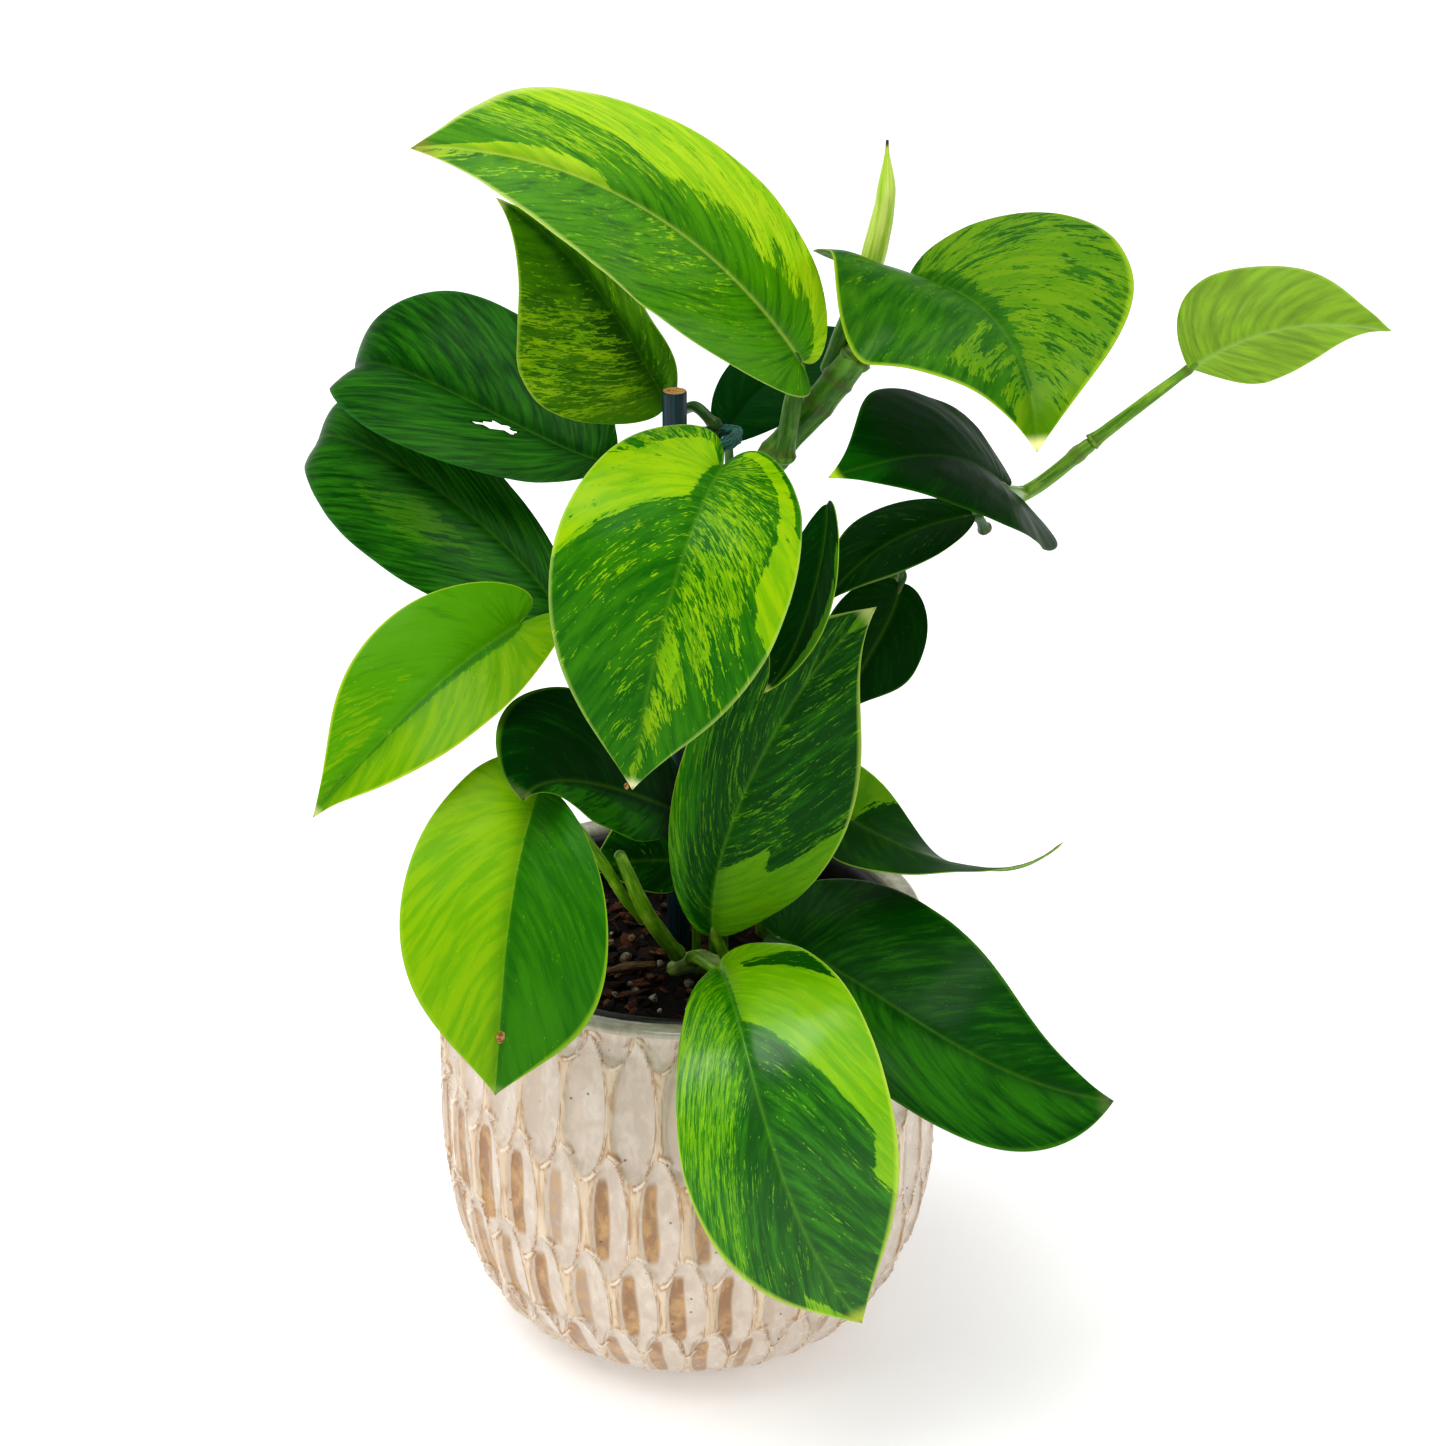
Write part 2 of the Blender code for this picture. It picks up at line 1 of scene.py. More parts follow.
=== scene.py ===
"""Looks of the potted scindapsus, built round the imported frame. Tables are in millimetres and degrees."""
import bpy
import bmesh
import math
import numpy as np
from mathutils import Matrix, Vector


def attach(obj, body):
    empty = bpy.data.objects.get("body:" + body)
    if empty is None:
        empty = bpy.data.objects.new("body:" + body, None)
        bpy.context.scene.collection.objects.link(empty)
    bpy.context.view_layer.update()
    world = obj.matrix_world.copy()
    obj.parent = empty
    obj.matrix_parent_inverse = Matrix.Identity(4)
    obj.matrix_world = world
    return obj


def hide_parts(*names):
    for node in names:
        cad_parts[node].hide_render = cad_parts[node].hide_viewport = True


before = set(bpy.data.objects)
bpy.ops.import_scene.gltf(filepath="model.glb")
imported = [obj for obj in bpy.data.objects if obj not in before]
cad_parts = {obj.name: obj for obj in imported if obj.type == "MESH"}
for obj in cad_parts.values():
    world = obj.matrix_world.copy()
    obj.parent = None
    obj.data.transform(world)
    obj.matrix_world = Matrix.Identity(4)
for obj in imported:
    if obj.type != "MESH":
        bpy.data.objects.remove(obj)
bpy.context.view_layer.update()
MM = 0.001

# ---- leaf blades, all in millimetres and degrees ----
# mid   four points the midrib passes through: base, one third, two thirds, tip
# face  direction of the upper face at the base and at the tip
# w     half widths (left, right) seen from the base, upper face towards the viewer
# fold  how far each half rises from the midrib; curl: further bend to the margin
# lobe  how far the basal lobes reach back; wide: where each half is widest
# tip   fullness near the tip; base: squareness of the lobes; base_fold: fold at the base
LEAVES = {
 "a": dict(mid=((31,-15,306),(2,-24,341),(-31,-42,364),(-65,-62,374)), face=((.05,-.68,.75),(-.1,-.45,.85)), w=(33,33), fold=(14,14), curl=(-25,-25), lobe=(.13,.05), wide=(.6,.5), tip=(.8,.45), base=(.2,.55)),
 "b": dict(mid=((-5.9,30,279.7),(-17.6,24,304),(-31.7,17,325.6),(-50.5,9,344)), face=((-.1,-.8,.5),(-.2,-.7,.6)), w=(32,17.5), fold=(10,72), curl=(-15,-15), lobe=(.05,.03)),
 "c": dict(mid=((-22.5,20,265.8),(-52,38,272),(-87.5,60,281),(-98.5,84,262.4)), face=((.1,-.7,.7),(-.7,-.1,.5)), w=(24.5,31), fold=(30,16), curl=(-30,-30), lobe=(.08,.05), wide=(.5,.5)),
 "d": dict(mid=((-33,0,219),(-59.6,27,244.4),(-100,62,257.4),(-111.5,90,236)), face=((.1,-.8,.6),(-.8,-.1,.4)), w=(28,19), fold=(14,4), curl=(-30,-34), lobe=(.03,.03), wide=(.46,.62), base=(.55,.3)),
 "e": dict(mid=((10,-62,293),(0,-86,277),(-8,-92,247),(-13,-84,213)), face=((0,-.8,.6),(-.1,-.95,.3)), w=(29,32), fold=(10,10), curl=(-25,-25), lobe=(.15,.15)),
 "f": dict(mid=((-44,-40,241),(-62,-56,233),(-79,-66,219),(-98,-70,198)), face=((-.1,-.8,.6),(-.3,-.8,.5)), w=(18,22), fold=(14,14), curl=(-10,-10), lobe=(.18,.14), base=(.3,.3)),
 "g": dict(mid=((-38,-66,205),(-44,-86,186),(-47,-98,162),(-50,-98,130)), face=((-.2,-.75,.6),(0,-.97,.1)), w=(28,28.5), fold=(18,18), curl=(-15,-15), lobe=(.02,.13), wide=(.5,.4)),
 "h": dict(mid=((-2,-26,178),(-16,-42,192),(-31.6,-66,207),(-41,-85.5,210.5)), face=((.1,-.8,.6),(-.1,-.8,.6)), w=(13,27), fold=(8,8), curl=(-10,-20), lobe=(.05,.05), wide=(.3,.6), tip=(.5,.85)),
 "i": dict(mid=((1.5,-4,150.5),(-9.7,-9,154.1),(-19.8,-13,155.1),(-28.8,-16,154.6)), face=((0,-.8,.6),(-.1,-.8,.6)), w=(10,17), fold=(10,10), curl=(-10,-10), lobe=(.03,.03)),
 "j": dict(mid=((7.5,-36,145),(12,-38,178),(29,-34,214.5),(52,-28,241)), face=((-.1,-.93,.3),(.2,-.85,.4)), w=(21,30), fold=(10,10), curl=(-20,-20), lobe=(.03,.03), wide=(.62,.4)),
 "k": dict(mid=((38,-30,271),(36,-40,257),(30,-47,239),(21,-52,226)), face=((-.85,-.4,.3),(-.75,-.55,.3)), w=(13,15), fold=(16,16), curl=(-10,-10), lobe=(.03,.03), wide=(.45,.45)),
 "l": dict(mid=((9,-56,145),(17,-95,139),(28,-112,107),(48,-108,64)), face=((-.1,-.5,.85),(.1,-.97,.1)), w=(34,25), fold=(14,14), curl=(-25,-25), lobe=(.10,.02), wide=(.42,.54), tip=(.6,.45), base=(.5,.2)),
 "m": dict(mid=((25,-25,138),(54,-60,137.5),(83,-76,126.5),(118,-72,112)), face=((.2,-.6,.75),(.1,-.7,.7)), w=(31,23.5), fold=(14,12), curl=(-12,-20), lobe=(.14,.03), wide=(.22,.5), tip=(.45,1.05), base=(.8,.55)),
 "n": dict(mid=((60,-8,326),(77.5,-36,326),(85.5,-62,317),(88,-74,301)), face=((-.3,-.3,.9),(.05,-.75,.6)), w=(40,38), fold=(10,20), curl=(-20,-30), lobe=(.06,.29), base=(.4,.5), base_fold=(10,62)),
 "o": dict(mid=((87,-10,269.5),(70,-30,284.5),(53,-46,289),(37,-56,288)), face=((.1,-.5,.85),(0,-.5,.85)), w=(28,28.5), fold=(12,12), curl=(-25,-25), lobe=(.3,.14)),
 "p": dict(mid=((139.5,18,294),(157.5,14,305),(175,10,309),(192,6,308)), face=((.2,.75,.5),(.2,.75,.5)), w=(19,27), fold=(8,8), curl=(-20,-20), lobe=(.0,.0)),
 "q": dict(mid=((80,8,254),(65,0,253),(51,-8,248),(38,-14,236)), face=((-.3,-.5,.8),(-.3,-.5,.8)), w=(13,13), fold=(14,14), curl=(-20,-20), lobe=(.03,.03), wide=(.5,.5)),
 "r": dict(mid=((60.5,12,231),(56.5,4,222),(49.5,-2,211),(44,-6,198.5)), face=((.5,-.75,.4),(.5,-.75,.4)), w=(15,18), fold=(10,10), curl=(-10,-10), lobe=(.06,.06), wide=(.45,.45)),
 "s": dict(mid=((37,-7,172),(59,-21,166),(83,-34,164.5),(105,-38,175)), face=((-.2,-.6,.75),(0,.35,.93)), w=(15.5,15), fold=(-42,12), curl=(0,0), lobe=(.0,.0), wide=(.06,.25), tip=(-.05,.1), base=(.8,.55), base_fold=(12,12)),
 "t": dict(mid=((12,42,267),(25,48,281),(44,52,288),(63,50,290)), face=((-.1,-.8,.6),(0,-.6,.8)), w=(12,14), fold=(12,12), curl=(-15,-15), lobe=(.06,.06)),
}
# ---- stems and petioles: points along the axis (mm) and radii (mm) at the points ----
STEMS = {
 "support_cane":  (((-3,6,20),(-3,6,291)), (3.4,3.4)),
 "main_stem":     (((9,-4,104),(9,-5,150),(10,-6,200),(13,-6,244),(23,-6,274),(36,-6,291),(45,-6,303)), (3.0,3.0,3.0,3.2,4.0,4.2,4.2)),
 "left_vine":     (((14,22,104),(14,22,145),(6,21,175),(-6,20,200),(-17,20,225),(-22,21,242),(-23,22,257)), (2.8,2.8,2.7,2.6,2.4,2.2,2.0)),
 "back_vine":     (((8,13,104),(8,12,160),(7,11,220),(8,11,266),(8,12,276.5)), (2.6,2.5,2.4,2.3,2.0)),
 "right_vine":    (((22,12,104),(24,14,130),(34,18,165),(44,22,200),(58,24,228),(74,22,246),(96,18,257),(113,18,271)), (2.6,2.6,2.5,2.5,2.4,2.3,2.2,2.1)),
 "crown_stem":    (((14,-15,121.8),(9,-17,123.5),(2,-17,125),(-4,-16,122)), (2.9,3.0,3.2,2.4)),
 "leaf_sheath":   (((-3,-21,130),(-7,-27,139),(-12,-36,153),(-18,-45,174)), (2.2,2.3,2.3,1.7)),
 "aerial_root":   (((-24,-15,120.5),(-17,-13,121),(-10,-12,121)), (1.1,1.3,1.1)),
 "new_shoot":     (((48.5,2,322),(51,2,332),(53.5,2,346),(53.5,2,361)), (2.8,3.4,2.6,.4)),
 "shoot_sheath":  (((39,.3,299.2),(43,1,308),(47,2,317)), (2.4,3.2,3.4)),
}
PETIOLES = {
 "a": (((27,-13.4,281),(28.7,-13.2,292),(30.3,-13.4,302.8)), (2.6,2.6,2.0)),
 "b": (((7.2,13.3,279.6),(2.5,20.5,281.6),(-3,28.4,277.6)), (1.6,1.6,1.3)),
 "c": (((-23,21.5,259.5),(-22.8,21.2,262.6)), (1.6,1.5)),
 "d": (((-14,15.3,209),(-21,8,211),(-27,2,213),(-31.8,-.6,216.6)), (1.6,1.6,1.5,1.4)),
 "e": (((13,-13,256),(12,-30,272),(11,-48,285),(10.5,-59,291)), (1.8,1.7,1.6,1.4)),
 "f": (((-7,15.2,195),(-14,3,203),(-26,-15,219),(-41,-35,238)), (1.6,1.6,1.5,1.4)),
 "g": (((-12.8,-27.5,145.2),(-17.8,-35.5,156.6),(-24,-49,176),(-36,-63,202)), (1.5,1.6,1.6,1.4)),
 "h": (((3,-10,160),(1,-16,170),(-1,-23,176)), (1.6,1.5,1.4)),
 "i": (((2.5,-2.5,119.8),(2.6,-3.4,134),(2,-4,148)), (1.4,1.4,1.2)),
 "j": (((14,-27,120.2),(12,-31,131.5),(8.3,-34.8,143)), (1.8,1.7,1.5)),
 "k": (((17,-11,250),(25,-14,249),(35,-19.5,255.5),(38.2,-26.6,267.6)), (1.5,1.5,1.4,1.3)),
 "l": (((2,-23,129),(4,-38,137),(8,-52.4,142.4)), (1.9,1.7,1.5)),
 "m": (((20,-22,119),(22,-23,128),(24.5,-23,135)), (1.9,1.8,1.6)),
 "n": (((47,-6,305.5),(54,-6,315.5),(60,-7,324)), (3.6,3.0,2.2)),
 "o": (((94,14,258.3),(91.5,4,262.5),(88,-6,266.6)), (1.6,1.6,1.4)),
 "p": (((115,18,273),(127,18,283),(138,18,292)), (1.9,1.7,1.4)),
 "q": (((84,15,248),(82,11,252)), (1.5,1.3)),
 "r": (((60.5,20,233),(61.5,14,233)), (1.4,1.3)),
 "s": (((31,12,151),(34,4,161),(36.2,-5.2,170.4)), (1.5,1.4,1.2)),
 "t": (((10,15.4,259),(12,27,260),(12,39.6,265.2)), (1.5,1.4,1.2)),
}

# ---------------------------------------------------------------- colours
# sRGB 0..255 to linear
def rgb(r, g, b):
    out = []
    for c in (r, g, b):
        c = c / 255.0
        out.append(c / 12.92 if c <= 0.04045 else ((c + 0.055) / 1.055) ** 2.4)
    return (*out, 1.0)


# ---------------------------------------------------------------- small maths
def unit(v):
    return v / np.maximum(np.linalg.norm(v, axis=-1, keepdims=True), 1e-12)


def smooth(a, b, x):
    t = np.clip((x - a) / (b - a), 0, 1)
    return t * t * (3 - 2 * t)


def cubic_through(p, u):
    u = np.asarray(u, float)[:, None]
    knots = (0.0, 1 / 3, 2 / 3, 1.0)
    total = 0.0
    for i in range(4):
        weight = 1.0
        for j in range(4):
            if j != i:
                weight = weight * (u - knots[j]) / (knots[i] - knots[j])
        total = total + np.asarray(p[i], float) * weight
    return total


def bezier(p, t):
    t = np.asarray(t, float)[:, None]
    p = [np.asarray(q, float) for q in p]
    return p[0] * (1 - t) ** 3 + 3 * p[1] * (1 - t) ** 2 * t + 3 * p[2] * (1 - t) * t * t + p[3] * t ** 3


def value_noise(x, y, seed):
    """Smooth lattice noise in 0..1, the same every run."""
    def lattice(i, j):
        n = np.sin(i * 127.1 + j * 311.7 + seed * 74.7) * 43758.5453
        return n - np.floor(n)
    xi, yi = np.floor(x), np.floor(y)
    fx, fy = x - xi, y - yi
    fx, fy = fx * fx * (3 - 2 * fx), fy * fy * (3 - 2 * fy)
    a, b = lattice(xi, yi), lattice(xi + 1, yi)
    c, d = lattice(xi, yi + 1), lattice(xi + 1, yi + 1)
    return (a * (1 - fx) + b * fx) * (1 - fy) + (c * (1 - fx) + d * fx) * fy


# ---------------------------------------------------------------- mesh helpers
def face_outward(mesh):
    bm = bmesh.new()
    bm.from_mesh(mesh)
    bmesh.ops.recalc_face_normals(bm, faces=bm.faces[:])
    bm.to_mesh(mesh)
    bm.free()


def new_piece(name, verts, faces, mats, replaces=(), material_index=None, smooth_shade=True):
    mesh = bpy.data.meshes.new(name)
    mesh.from_pydata([tuple(v) for v in np.asarray(verts, float)], [], faces)
    for m in mats:
        mesh.materials.append(m)
    if material_index is not None:
        mesh.polygons.foreach_set("material_index", np.asarray(material_index, dtype=np.int32))
    face_outward(mesh)
    if smooth_shade:
        mesh.shade_smooth()
    mesh.update()
    ob = bpy.data.objects.new(name, mesh)
    bpy.context.collection.objects.link(ob)
    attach(ob, "root")
    if replaces:
        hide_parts(*replaces)
    return ob


def point_colour(ob, name, data):
    att = ob.data.attributes.new(name, "FLOAT_COLOR", "POINT")
    data = np.asarray(data, dtype=np.float32)
    if data.shape[1] == 3:
        data = np.concatenate([data, np.ones((len(data), 1), np.float32)], 1)
    att.data.foreach_set("color", data.ravel())


def point_vector(ob, name, data):
    att = ob.data.attributes.new(name, "FLOAT_VECTOR", "POINT")
    att.data.foreach_set("vector", np.asarray(data, dtype=np.float32).ravel())


# ---------------------------------------------------------------- node helpers
class Nodes:
    """Short hand for building a material."""

    def __init__(self, name, roughness=0.4, specular=0.5):
        self.mat = bpy.data.materials.new(name)
        self.mat.use_nodes = True
        self.nt = self.mat.node_tree
        self.bsdf = self.nt.nodes["Principled BSDF"]
        self.bsdf.inputs["Roughness"].default_value = roughness
        self.bsdf.inputs["Specular IOR Level"].default_value = specular

    def node(self, kind, **settings):
        n = self.nt.nodes.new(kind)
        for k, v in settings.items():
            setattr(n, k, v)
        return n

    def link(self, a, b):
        self.nt.links.new(a, b)

    def set(self, socket, value):
        if isinstance(value, (int, float)):
            socket.default_value = value
        elif isinstance(value, tuple):
            socket.default_value = value
        else:
            self.link(value, socket)

    def math(self, op, a, b=0.0, c=None, clamp=False):
        n = self.node("ShaderNodeMath", operation=op, use_clamp=clamp)
        self.set(n.inputs[0], a)
        self.set(n.inputs[1], b)
        if c is not None:
            self.set(n.inputs[2], c)
        return n.outputs[0]

    def mix(self, fac, a, b, blend="MIX"):
        n = self.node("ShaderNodeMix", data_type="RGBA", blend_type=blend, clamp_factor=True)
        self.set(n.inputs[0], fac)
        self.set(n.inputs[6], a)
        self.set(n.inputs[7], b)
        return n.outputs[2]

    def step(self, x, lo, hi):
        n = self.node("ShaderNodeMapRange", interpolation_type="SMOOTHSTEP")
        self.set(n.inputs["Value"], x)
        n.inputs["From Min"].default_value = lo
        n.inputs["From Max"].default_value = hi
        return n.outputs["Result"]

    def range(self, x, lo, hi, a, b):
        n = self.node("ShaderNodeMapRange")
        self.set(n.inputs["Value"], x)
        n.inputs["From Min"].default_value = lo
        n.inputs["From Max"].default_value = hi
        n.inputs["To Min"].default_value = a
        n.inputs["To Max"].default_value = b
        return n.outputs["Result"]

    def spread(self, x, gain):
        """Stretches a noise about its middle so that it fills 0..1."""
        return self.math("MULTIPLY_ADD", x, gain, .5 - .5 * gain, clamp=True)

    def attribute(self, name):
        return self.node("ShaderNodeAttribute", attribute_name=name)

    def split(self, colour):
        n = self.node("ShaderNodeSeparateColor")
        self.link(colour, n.inputs[0])
        return n.outputs

    def coords(self, vector, scale, shift=(0, 0, 0)):
        n = self.node("ShaderNodeMapping")
        self.link(vector, n.inputs["Vector"])
        n.inputs["Scale"].default_value = scale
        n.inputs["Location"].default_value = shift
        return n.outputs[0]

    def noise(self, vector, scale=1.0, detail=4.0, roughness=0.55, distortion=0.0):
        n = self.node("ShaderNodeTexNoise")
        self.link(vector, n.inputs["Vector"])
        n.inputs["Scale"].default_value = scale
        n.inputs["Detail"].default_value = detail
        n.inputs["Roughness"].default_value = roughness
        n.inputs["Distortion"].default_value = distortion
        return n.outputs["Fac"]

    def voronoi(self, vector, scale=1.0, out="Distance", feature="F1", randomness=1.0):
        n = self.node("ShaderNodeTexVoronoi", feature=feature)
        self.link(vector, n.inputs["Vector"])
        n.inputs["Scale"].default_value = scale
        n.inputs["Randomness"].default_value = randomness
        return n.outputs[out]

    def bump(self, height, strength, distance):
        n = self.node("ShaderNodeBump")
        n.inputs["Strength"].default_value = strength
        n.inputs["Distance"].default_value = distance
        self.link(height, n.inputs["Height"])
        self.link(n.outputs[0], self.bsdf.inputs["Normal"])

    def colour(self, value):
        self.set(self.bsdf.inputs["Base Color"], value)

    def object_coords(self):
        return self.node("ShaderNodeTexCoord").outputs["Object"]


# ---------------------------------------------------------------- leaf surface
class Blade:
    """A heart-shaped blade bent along its midrib; the same rule as the CAD blade."""

    def __init__(self, mid, face, w, fold, curl, lobe, wide=(.33, .33), tip=(.35, .35), base=(.55, .55), base_fold=None):
        self.u = np.linspace(0, 1, 97)
        line = cubic_through(mid, self.u)
        c = np.r_[0, np.cumsum(np.linalg.norm(np.diff(line, axis=0), axis=1))]
        self.length = c[-1]
        self.P = np.stack([np.interp(self.u, c / c[-1], line[:, k]) for k in range(3)], 1)
        self.T = unit(np.gradient(self.P, axis=0))
        up = (1 - self.u[:, None]) * np.array(face[0], float) + self.u[:, None] * np.array(face[1], float)
        self.N = unit(up - (up * self.T).sum(1, keepdims=True) * self.T)
        self.B = np.cross(self.T, self.N)
        self.w, self.fold, self.curl = w, np.radians(fold), np.radians(curl)
        self.base_fold = np.radians(fold if base_fold is None else base_fold)
        self.lobe, self.wide, self.tip, self.base = lobe, wide, tip, base

    def margin(self, v, k):
        lobe, wide, tip, q = self.lobe[k], self.wide[k], self.tip[k], self.base[k]
        a = 0.42
        rear = bezier([(0, 0), (-1.9 * lobe, .14), ((1 - q) * wide * .9 - lobe * .9, 1), (wide, 1)], np.clip(v / a, 0, 1))
        front = bezier([(wide, 1), (wide + .5 * (1 - wide), 1), (1 - .36 * (1 - wide), tip), (1, 0)],
                       np.clip((v - a) / (1 - a), 0, 1))
        return np.where((v < a)[:, None], rear, front)

    def at(self, x, y, k):
        side = (-1, 1)[k]
        xc = np.clip(x, 0, 1)

        def along(a):
            return np.stack([np.interp(xc, self.u, a[:, i]) for i in range(3)], -1)
        P, T, N, B = along(self.P), unit(along(self.T)), unit(along(self.N)), unit(along(self.B))
        P = P + T * (np.minimum(x, 0) * self.length)[..., None]
        e = np.clip(x / .5, 0, 1)
        e = e * e * (3 - 2 * e)
        f = self.base_fold[k] + (self.fold[k] - self.base_fold[k]) * e + 0 * y
        c = self.curl[k]
        if abs(c) < 1e-4:
            h, v = y * np.cos(f), y * np.sin(f)
        else:
            g = c / self.w[k]
            h, v = (np.sin(f + g * y) - np.sin(f)) / g, (np.cos(f) - np.cos(f + g * y)) / g
        return P + B * (side * h)[..., None] + N * v[..., None]


def build_leaf(key, spec, paint, mats):
    """Two skins with a rounded margin, a sunk midrib above and a rib below, and shallow lateral veins."""
    leaf = Blade(**spec)
    big = max(spec["w"]) > 18
    rows = 92 if big else 60
    inner = 20 if big else 13
    t = np.r_[0, .010, .026, np.linspace(.05, .94, inner), .968, .986, .996, 1.0]
    v = np.linspace(0, 1, rows + 1)
    v = v + .035 * np.sin(2 * np.pi * v) * .0
    cols = len(t) - 1
    seed = float(ord(key))
    halves, marks = [], []
    for k in (0, 1):
        m = leaf.margin(v, k)
        root = .15 * v ** 1.5 + .85 * v ** 3
        f = .4 * t + .6 * t ** 2
        X = root[:, None] + (m[:, 0] - root)[:, None] * f[None, :]
        Y = m[:, 1][:, None] * t[None, :] * leaf.w[k]
        halves.append(leaf.at(X, Y, k))
        marks.append((X, Y))
    sheet = np.concatenate([halves[0][:, ::-1], halves[1][:, 1:]], axis=1)
    X = np.concatenate([marks[0][0][:, ::-1], marks[1][0][:, 1:]], axis=1)
    Y = np.concatenate([-marks[0][1][:, ::-1], marks[1][1][:, 1:]], axis=1)
    T = np.concatenate([-t[::-1], t[1:]])[None, :] + 0 * X
    V = v[:, None] + 0 * X
    across, along = np.gradient(sheet, axis=1), np.gradient(sheet, axis=0)
    normal = unit(np.cross(across, along))
    normal[0], normal[-1] = normal[2], normal[-2]
    normal[1] = normal[2]
    L = leaf.length
    # unevenness, in millimetres, fading to nothing at the midrib, base and tip
    fade = smooth(0, .12, V) * smooth(0, .1, 1 - V)
    wav = (value_noise(X * L / 17 + 3, Y / 15 + 7, seed) - .5) * 1.5 + (value_noise(X * L / 8, Y / 8, seed + 5) - .5) * .5
    wav = wav * fade * smooth(.04, .5, np.abs(T)) * paint.get("wave", 1.0)
    # lateral veins
    count = 10 if big else 7
    phase = V * count + .25 * np.sign(T)
    fr = np.abs(phase - np.round(phase))
    vein = np.exp(-(fr / .10) ** 2) * smooth(.03, .12, np.abs(T)) * smooth(0, .25, 1 - np.abs(T)) * smooth(.05, .2, V)
    swell = (.5 + .5 * np.cos(2 * np.pi * phase)) * smooth(.05, .3, np.abs(T)) * smooth(0, .3, 1 - np.abs(T))
    relief = -.10 * swell * paint.get("quilt", 1.0)
    dist = np.abs(Y)
    groove = np.exp(-(dist / 1.3) ** 2) * (1 - .5 * V)
    rib_w = 1.7 * (1 - .65 * V)
    rib = np.exp(-(dist / np.maximum(rib_w, .3)) ** 2) * (1.15 * (1 - V) + .12)
    edge = np.sqrt(np.clip(1 - (np.abs(T)) ** 14, 0, 1))
    half = .30 * edge
    sc = np.clip(np.sin(np.pi * np.clip(V, 0, 1)) * 6, 0, 1)
    top = sheet + normal * ((half + wav + (relief - .42 * groove) * sc))[..., None]
    bottom = sheet + normal * ((-half + wav + relief * .6 - rib * sc))[..., None]
    mid = sheet + normal * wav[..., None]
    n = sheet.shape[1]
    # vertices: base, apex, margin, then the inner points of both skins
    verts, where_top, where_bot = [], np.zeros((rows + 1, n), int), np.zeros((rows + 1, n), int)
    info = []

    def put(p, i, j):
        verts.append(p * MM)
        info.append((i, j))
        return len(verts) - 1
    b = put(sheet[0, cols], 0, cols)
    a = put(sheet[rows, cols], rows, cols)
    where_top[0], where_bot[0], where_top[rows], where_bot[rows] = b, b, a, a
    for i in range(1, rows):
        for j in (0, n - 1):
            where_top[i, j] = where_bot[i, j] = put(mid[i, j], i, j)
        for j in range(1, n - 1):
            where_top[i, j] = put(top[i, j], i, j)
            where_bot[i, j] = put(bottom[i, j], i, j)
    hole = paint.get("hole")
    faces, index = [], []
    gone = np.zeros((rows, n - 1), bool)
    if hole:
        side, vc, tc, rv, rt = hole
        cv, ct = (V[:-1, :-1] + V[1:, 1:]) / 2, (T[:-1, :-1] + T[1:, 1:]) / 2
        ang = np.arctan2((cv - vc) / rv, (ct * (-1, 1)[side] - tc) / rt)
        reach = np.hypot((cv - vc) / rv, (ct * (-1, 1)[side] - tc) / rt)
        gone = reach < 1 + .22 * np.sin(3 * ang + 1) + .12 * np.sin(7 * ang)
    for i in range(rows):
        for j in range(n - 1):
            if gone[i, j]:
                continue
            for w, flip, mi in ((where_top, False, 0), (where_bot, True, 1)):
                q = [w[i, j], w[i, j + 1], w[i + 1, j + 1], w[i + 1, j]]
                q = [x for m_, x in enumerate(q) if x != q[m_ - 1]]
                if len(q) < 3:
                    continue
                faces.append(q[::-1] if flip else q)
                index.append(mi)
    if hole:
        for i in range(rows):
            for j in range(n - 1):
                if not gone[i, j]:
                    continue
                for (di, dj, e) in ((-1, 0, ((i, j), (i, j + 1))), (1, 0, ((i + 1, j + 1), (i + 1, j))),
                                    (0, -1, ((i + 1, j), (i, j))), (0, 1, ((i, j + 1), (i + 1, j + 1)))):
                    if not gone[i + di, j + dj]:
                        p, q = e
                        faces.append([where_top[p], where_bot[p], where_bot[q], where_top[q]][::-1])
                        index.append(0)
    # small brown scars and nibs standing on the upper skin
    for x0, y0, k0, rad, high in paint.get("spots", ()):
        c0 = leaf.at(np.array([x0]), np.array([y0]), k0)[0]
        j0 = int(np.argmin(np.abs(X[:, cols] - x0)))
        n0 = normal[j0, cols]
        t0 = unit((leaf.T[int(x0 * 96)] - n0 * (leaf.T[int(x0 * 96)] @ n0))[None])[0]
        b0 = np.cross(n0, t0)
        rings = []
        for lat in (-.5, -.1, .35, .7):
            ring = []
            for m_ in range(10):
                a_ = 2 * np.pi * m_ / 10
                wob = 1 + .16 * np.sin(2 * a_ + seed) + .10 * np.sin(3 * a_)
                q_ = c0 + (t0 * np.cos(a_) * 1.0 + b0 * np.sin(a_) * .8) * rad * wob * np.cos(lat * np.pi / 2) + n0 * (high * np.sin(lat * np.pi / 2) + .1)
                ring.append(put(q_, j0, cols))
            rings.append(ring)
        low, peak = put(c0 - n0 * high * .9, j0, cols), put(c0 + n0 * high, j0, cols)
        for r_ in range(3):
            for m_ in range(10):
                faces.append([rings[r_][m_], rings[r_][(m_ + 1) % 10], rings[r_ + 1][(m_ + 1) % 10], rings[r_ + 1][m_]])
                index.append(2)
        for m_ in range(10):
            faces.append([rings[3][m_], rings[3][(m_ + 1) % 10], peak])
            faces.append([rings[0][(m_ + 1) % 10], rings[0][m_], low])
            index += [2, 2]
    ob = new_piece("leaf_%s" % key, verts, faces, mats, replaces=("leaf_%s_blade" % key,),
                   material_index=index)
